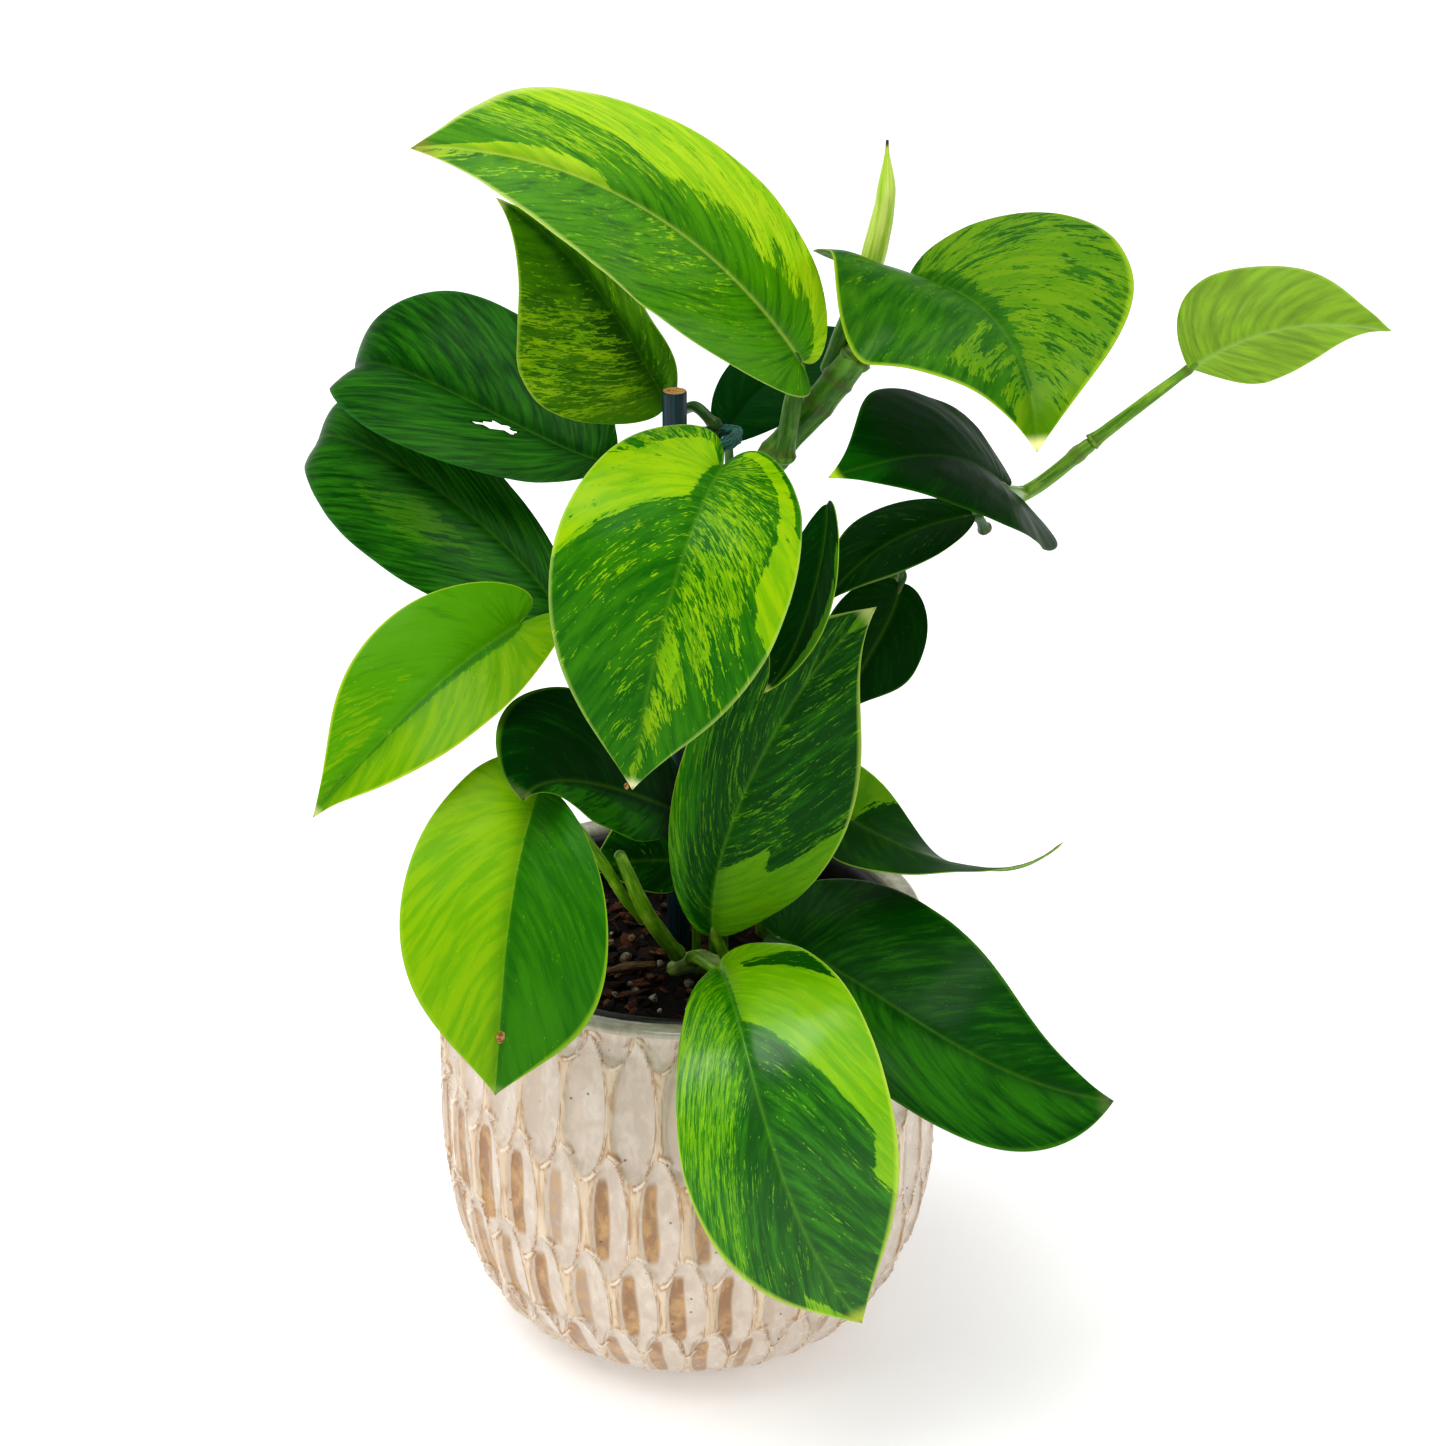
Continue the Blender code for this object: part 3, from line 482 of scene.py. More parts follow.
    # the skins were turned outward in new_piece; below, the per-vertex attributes
    ii = np.array([p[0] for p in info])
    jj = np.array([p[1] for p in info])
    vv, tt = V[ii, jj], T[ii, jj]
    point_vector(ob, "vein", np.stack([vv * L, Y[ii, jj] + .0 * vv, X[ii, jj] * L], 1))
    fields = np.zeros((len(vv), 4), np.float32)
    fields[:, 0], fields[:, 1], fields[:, 2] = paint.get("lime", 0), paint.get("mid", .5), paint.get("streak", 0)
    for chan, side, v0, v1, t0, t1, soft, value in paint.get("patches", ()):
        c = "lms".index(chan)
        s = np.ones_like(tt) if side == 2 else smooth(-.03, .03, tt * (-1, 1)[side])
        at = np.abs(tt)
        inside = smooth(v0 - soft, v0 + soft, vv) * smooth(-v1 - soft, -v1 + soft, -vv)
        inside = inside * smooth(t0 - soft * 1.6, t0 + soft * 1.6, at) * smooth(-t1 - soft * 1.6, -t1 + soft * 1.6, -at) * s
        fields[:, c] = fields[:, c] * (1 - inside) + value * inside
    point_colour(ob, "paint", fields)
    lines = np.zeros((len(vv), 4), np.float32)
    d = dist[ii, jj]
    lines[:, 0] = np.exp(-(d / .55) ** 2)
    lines[:, 1] = smooth(.972, .994, np.abs(tt))
    lines[:, 2] = vein[ii, jj]
    lines[:, 3] = smooth(.93, .985, X[ii, jj])
    point_colour(ob, "line", lines)
    # painted shade: darkening where the blade is folded along the midrib
    shade = np.exp(-(d / 3.2) ** 2)
    point_colour(ob, "shade", np.stack([shade, smooth(.90, .999, X[ii, jj]), smooth(0, 1, np.abs(tt)), vv], 1))
    return ob


def leaf_materials(key, paint):
    """Upper skin: dark and mid green with lime sectors, streaks along the veins and pale specks."""
    out = []
    lime, mid, dark = paint.get("lime_rgb", (176, 214, 8)), paint.get("mid_rgb", (72, 148, 6)), paint.get("dark_rgb", (14, 88, 8))
    vary = rgb(*lime), rgb(*mid), rgb(*dark)
    seed = float(ord(key) % 13) * 7.3
    n = Nodes("leaf_%s_upper" % key, roughness=paint.get("rough", .3), specular=paint.get("spec", .08))
    vein = n.attribute("vein").outputs["Vector"]
    field = n.attribute("paint")
    lime_f, mid_f, streak_f = n.split(field.outputs["Color"])[:3]
    line = n.attribute("line")
    midrib, margin, lateral = n.split(line.outputs["Color"])[:3]
    tip = n.attribute("shade")
    crease_shade, point, outward = n.split(tip.outputs["Color"])[:3]
    s = paint.get("grain", 1.0)
    broad = n.spread(n.noise(n.coords(vein, (.16 * s, .045 * s, .02), (seed, seed, 0)), 1, 4, .6, .25), 3.2)
    ragged = n.spread(n.noise(n.coords(vein, (.62 * s, .13 * s, .06), (seed + 3, seed, 0)), 1, 6, .68, .3), 3.4)
    fine = n.spread(n.noise(n.coords(vein, (2.0 * s, .42 * s, .2), (seed + 9, seed, 0)), 1, 4, .65, .2), 3.2)
    tone = n.noise(n.coords(vein, (.45, .09, .05), (seed + 21, seed, 0)), 1, 4, .55, .1)
    # green ground
    g = n.math("ADD", mid_f, n.math("MULTIPLY", n.math("SUBTRACT", tone, .5), 1.9))
    g = n.math("ADD", g, n.math("MULTIPLY", n.math("SUBTRACT", fine, .5), .16))
    ground = n.mix(n.step(g, .05, .95), vary[2], vary[1])
    # lime sectors with ragged borders drawn out along the veins
    l = n.math("ADD", lime_f, n.math("MULTIPLY", n.math("SUBTRACT", ragged, .5), paint.get("jag", .42)))
    l = n.math("ADD", l, n.math("MULTIPLY", n.math("SUBTRACT", fine, .5), paint.get("jag", .42) * .5))
    l = n.math("ADD", l, n.math("MULTIPLY", n.math("SUBTRACT", broad, .5), .22))
    sector = n.step(l, .485, .515)
    # streaks
    k = n.math("ADD", n.math("MULTIPLY", ragged, .50), n.math("MULTIPLY", fine, .50))
    k = n.math("ADD", k, n.math("MULTIPLY", n.math("SUBTRACT", broad, .5), .30))
    k = n.math("ADD", k, n.math("MULTIPLY", streak_f, .62))
    streak = n.step(k, 1.05, 1.10)
    # the lime itself runs from yellow to green
    lt = n.mix(n.step(tone, .38, .62), rgb(*[c * f for c, f in zip(lime, (.82, .93, .6))]), rgb(*lime))
    half_tone = n.mix(.45, vary[1], lt)
    col = n.mix(n.math("MULTIPLY", streak, .9), ground, n.mix(n.step(fine, .45, .75), half_tone, lt))
    # inside the sectors some green lines stay
    r = n.math("ADD", n.math("MULTIPLY", ragged, .45), n.math("MULTIPLY", fine, .55))
    r = n.math("ADD", r, n.math("MULTIPLY", streak_f, .22))
    remain = n.step(r, .93, .98)
    inside = n.mix(n.math("MULTIPLY", remain, paint.get("remain", .6)), lt, ground)
    col = n.mix(sector, col, inside)
    # pale specks
    cells = n.voronoi(n.coords(vein, (.95, .5, .3), (seed, 2, 0)), 1.0)
    rare = n.noise(n.coords(vein, (.3, .3, .3), (seed + 31, 5, 0)), 1, 2, .5)
    specks = n.math("MULTIPLY", n.step(n.math("MULTIPLY", cells, -1.0), -.16, -.08), n.step(rare, .50, .62))
    col = n.mix(n.math("MULTIPLY", specks, paint.get("speck", .55)), col, rgb(168, 208, 60))
    # veins, painted shade in the midrib crease, midrib, margin and tip
    col = n.mix(n.math("MULTIPLY", lateral, paint.get("veins", .07)), col, vary[2])
    col = n.mix(n.math("MULTIPLY", crease_shade, paint.get("crease_shade", .35)), col, vary[2])
    col = n.mix(n.math("MULTIPLY", midrib, paint.get("rib", .14)), col, rgb(*paint.get("rib_rgb", (120, 176, 40))))
    col = n.mix(n.math("MULTIPLY", margin, paint.get("edge", .75)), col, rgb(*paint.get("edge_rgb", (170, 205, 70))))
    # the tip in its own paler or browner colour; on leaf n the near-white tip is painted glow of light through the
    # blade
    col = n.mix(n.math("MULTIPLY", n.step(point, .35, .95), paint.get("pale_tip", .5)), col, rgb(*paint.get("tip_rgb", (222, 224, 150))))
    n.colour(col)
    n.link(n.range(tone, .3, .7, paint.get("rough", .3) * .85, paint.get("rough", .3) * 1.25), n.bsdf.inputs["Roughness"])
    n.bsdf.inputs["Coat Weight"].default_value = paint.get("coat", .03)
    n.bsdf.inputs["Coat Roughness"].default_value = .18
    n.bump(n.math("ADD", fine, n.math("MULTIPLY", ragged, 1.5)), .22, .00008)
    out.append(n.mat)
    # under skin: paler, duller, with the lateral veins drawn in
    u = Nodes("leaf_%s_under" % key, roughness=.5, specular=.3)
    vein = u.attribute("vein").outputs["Vector"]
    line = u.attribute("line")
    midrib, margin, lateral = u.split(line.outputs["Color"])[:3]
    lime_f, mid_f, streak_f = u.split(u.attribute("paint").outputs["Color"])[:3]
    tone = u.noise(u.coords(vein, (.5, .1, .06), (seed, 4, 0)), 1, 4, .55, .1)
    ragged = u.noise(u.coords(vein, (.75 * s, .16 * s, .10), (seed + 3, seed, 0)), 1, 6, .68, .35)
    under = paint.get("under_rgb", (96, 146, 52))
    base = u.mix(u.step(tone, .25, .75), rgb(*[c * .8 for c in under]), rgb(*under))
    l = u.math("ADD", lime_f, u.math("MULTIPLY", u.math("SUBTRACT", ragged, .5), 1.4))
    base = u.mix(u.math("MULTIPLY", u.step(l, .42, .6), .6), base, rgb(168, 196, 62))
    base = u.mix(u.math("MULTIPLY", lateral, .35), base, rgb(*[c * .62 for c in under]))
    base = u.mix(u.math("MULTIPLY", midrib, .7), base, rgb(150, 186, 86))
    base = u.mix(u.math("MULTIPLY", margin, .6), base, rgb(176, 204, 96))
    u.colour(base)
    u.bump(u.math("ADD", tone, ragged), .3, .00015)
    out.append(u.mat)
    return out


# ---------------------------------------------------------------- stems
def smooth_route(points, radii, step=1.6):
    """Catmull-Rom curve through the points, sampled about every `step` millimetres."""
    p, r = np.array(points, float), np.array(radii, float)
    if len(p) == 2:
        n = max(3, int(np.linalg.norm(p[1] - p[0]) / step))
        u = np.linspace(0, 1, n)
        return p[0] + (p[1] - p[0]) * u[:, None], r[0] + (r[1] - r[0]) * u
    ext = np.vstack([2 * p[0] - p[1], p, 2 * p[-1] - p[-2]])
    out, rad = [], []
    for i in range(len(p) - 1):
        a, b, c, d = ext[i:i + 4]
        n = max(2, int(np.linalg.norm(c - b) / step))
        for k in range(n):
            t = k / n
            out.append(.5 * (2 * b + (c - a) * t + (2 * a - 5 * b + 4 * c - d) * t * t + (3 * b - a - 3 * c + d) * t ** 3))
            s = t * t * (3 - 2 * t)
            rad.append(r[i] + (r[i + 1] - r[i]) * s)
    out.append(p[-1])
    rad.append(r[-1])
    return np.array(out), np.array(rad)


def frames_along(P):
    T = unit(np.gradient(P, axis=0))
    ref = np.array([0.0, -1.0, .2])
    U = np.zeros_like(P)
    u = unit((ref - T[0] * np.dot(ref, T[0]))[None])[0]
    for i in range(len(P)):
        u = u - T[i] * np.dot(u, T[i])
        u = u / np.linalg.norm(u)
        U[i] = u
    return T, U, np.cross(T, U)


def tube_points(points, radii, sides=16, step=1.6, rings=(), shape=None, seed=1.0, rough=.05, cap=.9):
    """A closed tube. rings are (place 0..1, swell in mm, length in mm) for nodes and scars."""
    P, R = smooth_route(points, radii, step)
    T, U, W = frames_along(P)
    arc = np.r_[0, np.cumsum(np.linalg.norm(np.diff(P, axis=0), axis=1))]
    total = arc[-1]
    extra = np.zeros(len(P))
    mark = np.zeros(len(P))
    for place, swell, length in rings:
        extra += swell * np.exp(-((arc - place * total) / length) ** 2)
        mark = np.maximum(mark, np.exp(-((arc - place * total) / 1.0) ** 2))
    ang = np.linspace(0, 2 * np.pi, sides, endpoint=False)
    verts, att = [], []
    # rounded ends
    start = [(-cap * R[0] * math.sin(a), math.cos(a)) for a in (1.25, .8, .4)]
    end = [(cap * R[-1] * math.sin(a), math.cos(a)) for a in (.4, .8, 1.25)]
    sections = [(P[0] + T[0] * d, U[0], W[0], (R[0] + extra[0]) * f, 0, arc[0] + d) for d, f in start]
    sections += [(P[i], U[i], W[i], R[i] + extra[i], mark[i], arc[i]) for i in range(len(P))]
    sections += [(P[-1] + T[-1] * d, U[-1], W[-1], (R[-1] + extra[-1]) * f, 0, total + d) for d, f in end]
    for c, u, w, r, m, s in sections:
        wob = 1 + rough * (value_noise(np.full(sides, s / 6.0), np.cos(ang) * 1.5 + 5, seed) - .5) * 2
        k = np.ones(sides) if shape is None else shape(ang, s / total)
        for a, f, q in zip(ang, wob, k):
            verts.append(c + (u * math.cos(a) + w * math.sin(a)) * r * f * q)
            att.append((s, a, m))
    n = len(sections)
    faces = []
    for i in range(n - 1):
        for j in range(sides):
            k = (j + 1) % sides
            faces.append([i * sides + j, i * sides + k, (i + 1) * sides + k, (i + 1) * sides + j])
    verts.append(P[0] - T[0] * cap * R[0])
    att.append((arc[0], 0, 0))
    verts.append(P[-1] + T[-1] * cap * R[-1])
    att.append((total, 0, 0))
    for j in range(sides):
        k = (j + 1) % sides
        faces.append([len(verts) - 2, k, j])
        faces.append([len(verts) - 1, (n - 1) * sides + j, (n - 1) * sides + k])
    return np.array(verts), faces, np.array(att), total


def tube_piece(name, points, radii, mat, node, slot, **kw):
    verts, faces, att, total = tube_points(points, radii, **kw)
    ob = new_piece(name, verts * MM, faces, [mat], replaces=(node,) if node else ())
    point_vector(ob, "stem", np.stack([att[:, 0], np.cos(att[:, 1]) * 3, np.sin(att[:, 1]) * 3], 1))
    point_colour(ob, "mark", np.stack([att[:, 2], att[:, 0] / total, att[:, 1] * 0, att[:, 1] * 0 + 1], 1))
    return ob


def stem_material(name, light, mid, dark, rough=.38, low_end=None):
    n = Nodes(name, roughness=rough, specular=.4)
    stem = n.attribute("stem").outputs["Vector"]
    mark, along = n.split(n.attribute("mark").outputs["Color"])[:2]
    grain = n.noise(n.coords(stem, (.06, .9, .9)), 1, 5, .6, .3)
    blotch = n.noise(n.coords(stem, (.12, .25, .25), (4, 2, 1)), 1, 3, .55)
    col = n.mix(n.step(grain, .32, .66), rgb(*dark), rgb(*mid))
    col = n.mix(n.math("MULTIPLY", n.step(blotch, .45, .72), .7), col, rgb(*light))
    dots = n.voronoi(n.coords(stem, (.5, 1.4, 1.4), (3, 0, 0)), 1.0)
    col = n.mix(n.math("MULTIPLY", n.step(n.math("MULTIPLY", dots, -1), -.2, -.1), .35), col, rgb(*light))
    col = n.mix(n.math("MULTIPLY", mark, .55), col, rgb(88, 74, 26))
    n.colour(col)
    n.bump(n.math("ADD", grain, n.math("MULTIPLY", blotch, .6)), .5, .0003)
    return n.mat

# ---------------------------------------------------------------- leaf paint
# lime, mid and streak are 0..1 levels of lime sector, light ground and streaking.
# patches: (channel l/m/s, side 0 left 1 right 2 both, vein from, vein to, across from, across to, softness, level)
# the crease level sets how strongly painted shade darkens the fold along the midrib
PAINT = {
 "a": dict(mid=.72, streak=.30, remain=.85, rough=.24, spec=.16, edge_rgb=(206, 226, 120), rib=.5, rib_rgb=(190, 214, 90), tip_rgb=(150, 130, 60), pale_tip=.5, mid_rgb=(84, 152, 4), lime_rgb=(176, 212, 26),
           patches=(("l", 1, -.1, .68, .46, 1.2, .04, .80), ("l", 1, .30, .50, .28, .5, .04, .55), ("l", 1, .80, 1.1, -.1, .52, .03, .86), ("l", 1, .68, .86, .40, 1.2, .05, .36),
                    ("s", 1, .0, .86, .40, 1.2, .1, .95), ("s", 0, .45, .95, .05, .75, .1, .60), ("m", 0, -.1, .4, -.1, 1.2, .1, .75), ("l", 0, .93, 1.1, -.1, 1.2, .03, .6))),
 "b": dict(mid=.66, streak=.42, rough=.36, lime_rgb=(160, 198, 12), mid_rgb=(84, 140, 6), dark_rgb=(40, 92, 6), jag=.5,
           patches=(("l", 0, .30, .72, .10, 1.2, .08, .44), ("s", 0, .25, .80, .1, 1.2, .1, .85), ("m", 0, -.1, .30, -.1, 1.2, .05, 1.0), ("m", 0, .5, 1.1, -.1, .3, .1, .2), ("m", 1, -.1, 1.1, -.1, .5, .1, .2))),
 "c": dict(mid=.42, streak=.08, rough=.34, spec=.06, coat=0, lime_rgb=(60, 120, 10), mid_rgb=(44, 112, 8), dark_rgb=(4, 60, 4), speck=.10, edge_rgb=(60, 120, 60), edge=.4, rib=.1, crease_shade=.6, pale_tip=0,
           patches=(("m", 0, .35, .85, .1, .9, .1, .5),), hole=(0, .60, .22, .036, .12)),
 "d": dict(mid=.50, streak=.08, rough=.34, spec=.06, coat=0, lime_rgb=(66, 116, 8), mid_rgb=(44, 112, 10), dark_rgb=(4, 60, 4), speck=.10, edge_rgb=(60, 120, 60), edge=.4, rib=.1, crease_shade=.6, pale_tip=0,
           patches=(("l", 0, .52, .74, .25, .75, .05, .57), ("m", 0, .2, .9, .1, .9, .1, .5))),
 "e": dict(mid=.50, streak=.40, rough=.30, mid_rgb=(58, 128, 2), dark_rgb=(24, 96, 2), lime_rgb=(148, 188, 4), edge_rgb=(190, 216, 110), edge=.5, rib=.35, rib_rgb=(96, 150, 20), pale_tip=1, tip_rgb=(226, 230, 170), speck=.6, remain=.75,
           patches=(("l", 1, .10, .47, .10, 1.2, .03, .80), ("l", 1, -.1, .30, .74, 1.2, .04, .34), ("s", 1, -.1, .30, .60, 1.2, .05, .95), ("l", 1, -.1, .11, -.1, 1.2, .03, .40),
                    ("s", 1, .47, .90, .05, .75, .08, .66), ("l", 0, .08, .52, .70, .91, .03, .84), ("l", 0, .34, .54, .80, 1.2, .02, .80), ("l", 0, .56, .76, .50, .88, .06, .43), ("s", 0, .08, 1.0, .02, .70, .06, .98),
                    ("l", 0, .20, .52, .10, .40, .08, .40), ("m", 0, .02, .25, .15, .60, .05, .1), ("l", 0, .74, 1.1, .06, .48, .04, .58), ("l", 1, .95, 1.1, -.1, .6, .02, .7)),
           spots=((.985, 1.6, 1, .9, .8),)),
 "f": dict(mid=.92, streak=.20, rough=.34, mid_rgb=(84, 150, 2), dark_rgb=(50, 112, 2), lime_rgb=(122, 166, 2), edge_rgb=(186, 206, 60), pale_tip=.7, rib=.2,
           patches=(("l", 0, -.1, 1.1, .16, 1.2, .04, .74), ("m", 0, -.1, 1.1, -.1, .16, .04, .1), ("l", 1, .6, 1.1, .3, 1.2, .1, .44))),
 "g": dict(mid=.40, streak=.15, rough=.36, mid_rgb=(54, 122, 2), dark_rgb=(30, 98, 2), lime_rgb=(134, 178, 4), edge_rgb=(150, 190, 40), jag=.25, remain=.30, speck=.4, pale_tip=.2,
           patches=(("l", 1, -.1, 1.1, -.03, 1.2, .02, 1.0), ("m", 0, .7, 1.0, .3, 1.0, .1, .8)), spots=((.78, .5, 0, 1.9, 1.0),)),
 "h": dict(mid=.10, streak=.10, spec=.035, coat=0, rough=.42, mid_rgb=(24, 92, 4), dark_rgb=(2, 48, 2), lime_rgb=(46, 116, 4), speck=.12, edge_rgb=(100, 150, 30), edge=.6, pale_tip=.1,
           patches=(("l", 0, .40, .95, .35, 1.2, .06, .55), ("m", 0, .30, .95, .2, 1.2, .06, .6))),
 "i": dict(mid=.35, streak=.40, spec=.035, coat=0, rough=.4, mid_rgb=(36, 104, 4), dark_rgb=(8, 60, 4), lime_rgb=(96, 150, 10), speck=.2, pale_tip=.1),
 "j": dict(mid=.22, streak=.58, rough=.38, spec=.12, mid_rgb=(46, 122, 4), dark_rgb=(8, 72, 4), lime_rgb=(106, 160, 4), edge_rgb=(180, 210, 90), speck=.35, pale_tip=.6, rib=.25,
           patches=(("l", 1, -.1, .545, -.02, .45, .025, .88), ("l", 1, -.1, .455, .4, 1.2, .025, .88), ("l", 0, -.1, .40, .55, 1.2, .06, .52), ("m", 0, -.1, .5, .45, 1.2, .06, .8), ("l", 2, .96, 1.1, -.1, 1.2, .02, .7))),
 "k": dict(mid=.15, streak=.15, spec=.035, coat=0, rough=.4, mid_rgb=(26, 88, 6), dark_rgb=(4, 54, 4), lime_rgb=(84, 140, 10), pale_tip=.9, tip_rgb=(200, 210, 120), patches=(("l", 0, .3, 1.1, .8, 1.2, .04, .7),)),
 "l": dict(mid=.62, streak=.35, rough=.24, spec=.24, coat=.16, mid_rgb=(58, 138, 2), dark_rgb=(14, 84, 2), lime_rgb=(132, 184, 2), edge_rgb=(196, 220, 80), rib=.3, rib_rgb=(110, 170, 30), speck=.75, remain=.35, tip_rgb=(190, 200, 60), pale_tip=.8,
           patches=(("l", 0, -.1, .575, .03, 1.2, .02, .95), ("l", 0, .57, .68, .86, 1.2, .02, .80), ("l", 0, .25, .33, .22, .95, .02, .34), ("m", 0, .20, .40, .15, 1.0, .03, -.4),
                    ("m", 0, .6, 1.1, -.1, 1.2, .05, .35), ("s", 1, -.1, .66, .05, .95, .08, .95), ("l", 1, .22, .60, .10, .85, .1, .43), ("m", 1, .66, 1.1, -.1, 1.2, .08, .30), ("l", 1, -.1, .40, .55, 1.2, .06, .60),
                    ("l", 1, .84, 1.1, .84, 1.2, .03, .62))),
 "m": dict(mid=.26, streak=.10, rough=.30, spec=.10, coat=0, mid_rgb=(42, 110, 4), dark_rgb=(4, 66, 2), lime_rgb=(60, 130, 10), edge_rgb=(80, 140, 30), edge=.5, speck=.15, rib=.15, crease_shade=.6, pale_tip=.1,
           patches=(("m", 1, .5, 1.0, .1, .9, .1, .65),)),
 # leaf n: the near-white tip and the lime patch at the tip are painted glow of light shining through the blade
 "n": dict(mid=.45, streak=.36, rough=.30, mid_rgb=(66, 124, 4), dark_rgb=(26, 88, 2), lime_rgb=(106, 146, 4), edge_rgb=(160, 194, 40), speck=.35, pale_tip=1, tip_rgb=(248, 250, 170), remain=.7,
           patches=(("l", 0, .10, 1.1, .08, 1.2, .06, .58), ("s", 0, .1, 1.0, .1, 1.0, .1, .7), ("l", 1, .72, 1.1, .05, .9, .06, .50), ("l", 2, .93, 1.1, -.1, 1.2, .04, .9), ("l", 1, .3, .6, .1, .5, .1, .30))),
 "o": dict(mid=.10, streak=.06, spec=.035, coat=0, rough=.40, mid_rgb=(20, 84, 4), dark_rgb=(3, 52, 2), lime_rgb=(120, 170, 20), edge_rgb=(60, 116, 20), edge=.4, speck=.1, rib=.30, rib_rgb=(70, 124, 30), pale_tip=.9, tip_rgb=(180, 214, 40),
           patches=(("m", 2, .90, 1.1, -.1, 1.2, .05, 1.2),)),
 # leaf p is seen from below: its own paler green, made brighter with painted glow of light through the blade
 "p": dict(mid=.9, streak=.05, rough=.4, mid_rgb=(126, 176, 14), dark_rgb=(100, 156, 10), under_rgb=(146, 192, 34), speck=.1, pale_tip=.2),
 "q": dict(mid=.15, streak=.30, spec=.035, coat=0, rough=.42, mid_rgb=(30, 84, 12), dark_rgb=(8, 56, 6), lime_rgb=(76, 124, 30), speck=.2, edge_rgb=(130, 160, 80), pale_tip=.2),
 "r": dict(mid=.12, streak=.05, spec=.035, coat=0, rough=.42, mid_rgb=(20, 76, 4), dark_rgb=(4, 52, 2), lime_rgb=(60, 120, 20), speck=.1, edge_rgb=(70, 120, 30), pale_tip=.1),
 "s": dict(mid=.20, streak=.12, rough=.42, mid_rgb=(44, 104, 6), dark_rgb=(14, 68, 4), lime_rgb=(104, 156, 8), speck=.15, pale_tip=.3, tip_rgb=(110, 130, 60),
           patches=(("l", 0, -.1, .50, -.1, 1.2, .03, .90), ("l", 2, .85, 1.1, -.1, 1.2, .05, .42))),
 "t": dict(mid=.18, streak=.06, spec=.035, coat=0, rough=.46, mid_rgb=(22, 84, 16), dark_rgb=(6, 56, 12), lime_rgb=(60, 120, 40), speck=.08, edge=.3, edge_rgb=(50, 100, 50), rib=.0, crease_shade=.9, pale_tip=0),
}

scar = Nodes("dry_scar", roughness=.8, specular=.2)
grain = scar.noise(scar.coords(scar.object_coords(), (900, 900, 900)), 1, 5, .6)
scar.colour(scar.mix(scar.step(grain, .35, .65), rgb(104, 70, 34), rgb(190, 150, 96)))

for key, spec in LEAVES.items():
    build_leaf(key, spec, PAINT[key], leaf_materials(key, PAINT[key]) + ([scar.mat] if "spots" in PAINT[key] else []))

# ---------------------------------------------------------------- stems, petioles, shoot
green = stem_material("stem_skin", (132, 180, 66), (80, 136, 24), (44, 96, 10))
deep = stem_material("stem_skin_dark", (76, 126, 40), (40, 88, 14), (18, 60, 8))
pale = stem_material("petiole_skin", (158, 192, 60), (110, 158, 24), (72, 122, 10), rough=.34)


def grooved(ang, s):
    """Petiole section: flattened and grooved on its upper face."""
    return 1 - .16 * np.exp(-((np.angle(np.exp(1j * (ang - .0)))) / .5) ** 2)


STEM_LOOK = {
 "main_stem": (green, ((.30, .35, 2.5), (.52, .4, 2.5), (.70, .5, 2.2), (.84, .9, 2.6), (.93, .4, 1.6), (.97, .5, 1.2))),
 "left_vine": (deep, ((.25, .5, 2), (.5, .5, 2), (.72, .5, 2), (.9, .5, 2))),
 "back_vine": (deep, ((.2, .5, 2), (.45, .5, 2), (.68, .5, 2), (.86, .5, 2), (.97, .6, 1.6))),
 "right_vine": (stem_material("vine_skin", (166, 200, 86), (118, 164, 38), (72, 122, 18)), ((.12, .4, 2), (.3, .4, 2), (.48, .5, 2), (.66, .5, 1.8), (.76, .5, 1.6), (.87, .5, 1.6), (.98, .5, 1.4))),
}
for name, (mat, rings) in STEM_LOOK.items():
    pts, rad = STEMS[name]
    tube_piece(name + "_skin", pts, rad, mat, name, "stem_green", sides=20, rings=rings, seed=len(name), rough=.05)
tube_piece("crown_stem_skin", *STEMS["crown_stem"], stem_material("crown_skin", (196, 206, 150), (150, 176, 96), (96, 132, 52)), "crown_stem", "stem_green",
           sides=20, rings=((.15, .5, 1.5), (.55, .6, 1.5), (.85, .3, 1.2)), seed=3, step=.8)
tube_piece("leaf_sheath_skin", *STEMS["leaf_sheath"], pale, "leaf_sheath", "stem_green", sides=18, rings=((.0, .5, 2),), seed=4, step=1.0, shape=grooved)
for key, (pts, rad) in PETIOLES.items():
    # the petiole runs on into the blade's rib and down into the stem it grows from
    end = np.array(LEAVES[key]["mid"][0], float)
    last, prev = np.array(pts[-1], float), np.array(pts[-2], float)
    leaf = Blade(**LEAVES[key])
    join = end + leaf.T[2] * 2.2 - leaf.N[2] * .9
    first, second = np.array(pts[0], float), np.array(pts[1], float)
    root = first - (second - first) / np.linalg.norm(second - first) * 1.6
    route = [tuple(root)] + list(pts) + [tuple(join)]
    radii = [rad[0] * 1.25] + list(rad) + [rad[-1] * .62]
    tube_piece("leaf_%s_stalk" % key, route, radii, green if key in "an" else (deep if key in "bcdkqrt" else pale), "leaf_%s_petiole" % key, "stem_green",
               sides=16, rings=((.03, .35, 1.5), (.93, .25, 1.6)), seed=ord(key), step=1.0, rough=.03, shape=grooved)

# rolled new leaf: a spiral seam runs up it, and it ends in a fine dark nib
shoot = Nodes("new_leaf", roughness=.32, specular=.4)
vec = shoot.attribute("stem").outputs["Vector"]
mark, along = shoot.split(shoot.attribute("mark").outputs["Color"])[:2]
grain = shoot.noise(shoot.coords(vec, (.05, 1.1, 1.1)), 1, 4, .6, .2)
col = shoot.mix(shoot.step(grain, .35, .65), rgb(172, 212, 56), rgb(224, 238, 124))
col = shoot.mix(shoot.step(along, .95, .985), col, rgb(70, 50, 20))
shoot.colour(col)
shoot.bump(grain, .4, .0002)


def rolled(ang, s):
    seam = np.angle(np.exp(1j * (ang - 2.2 - s * 2.6)))
    return 1 + .13 * np.where(seam > 0, np.exp(-seam / .9), -np.exp(seam / .12) * .6)


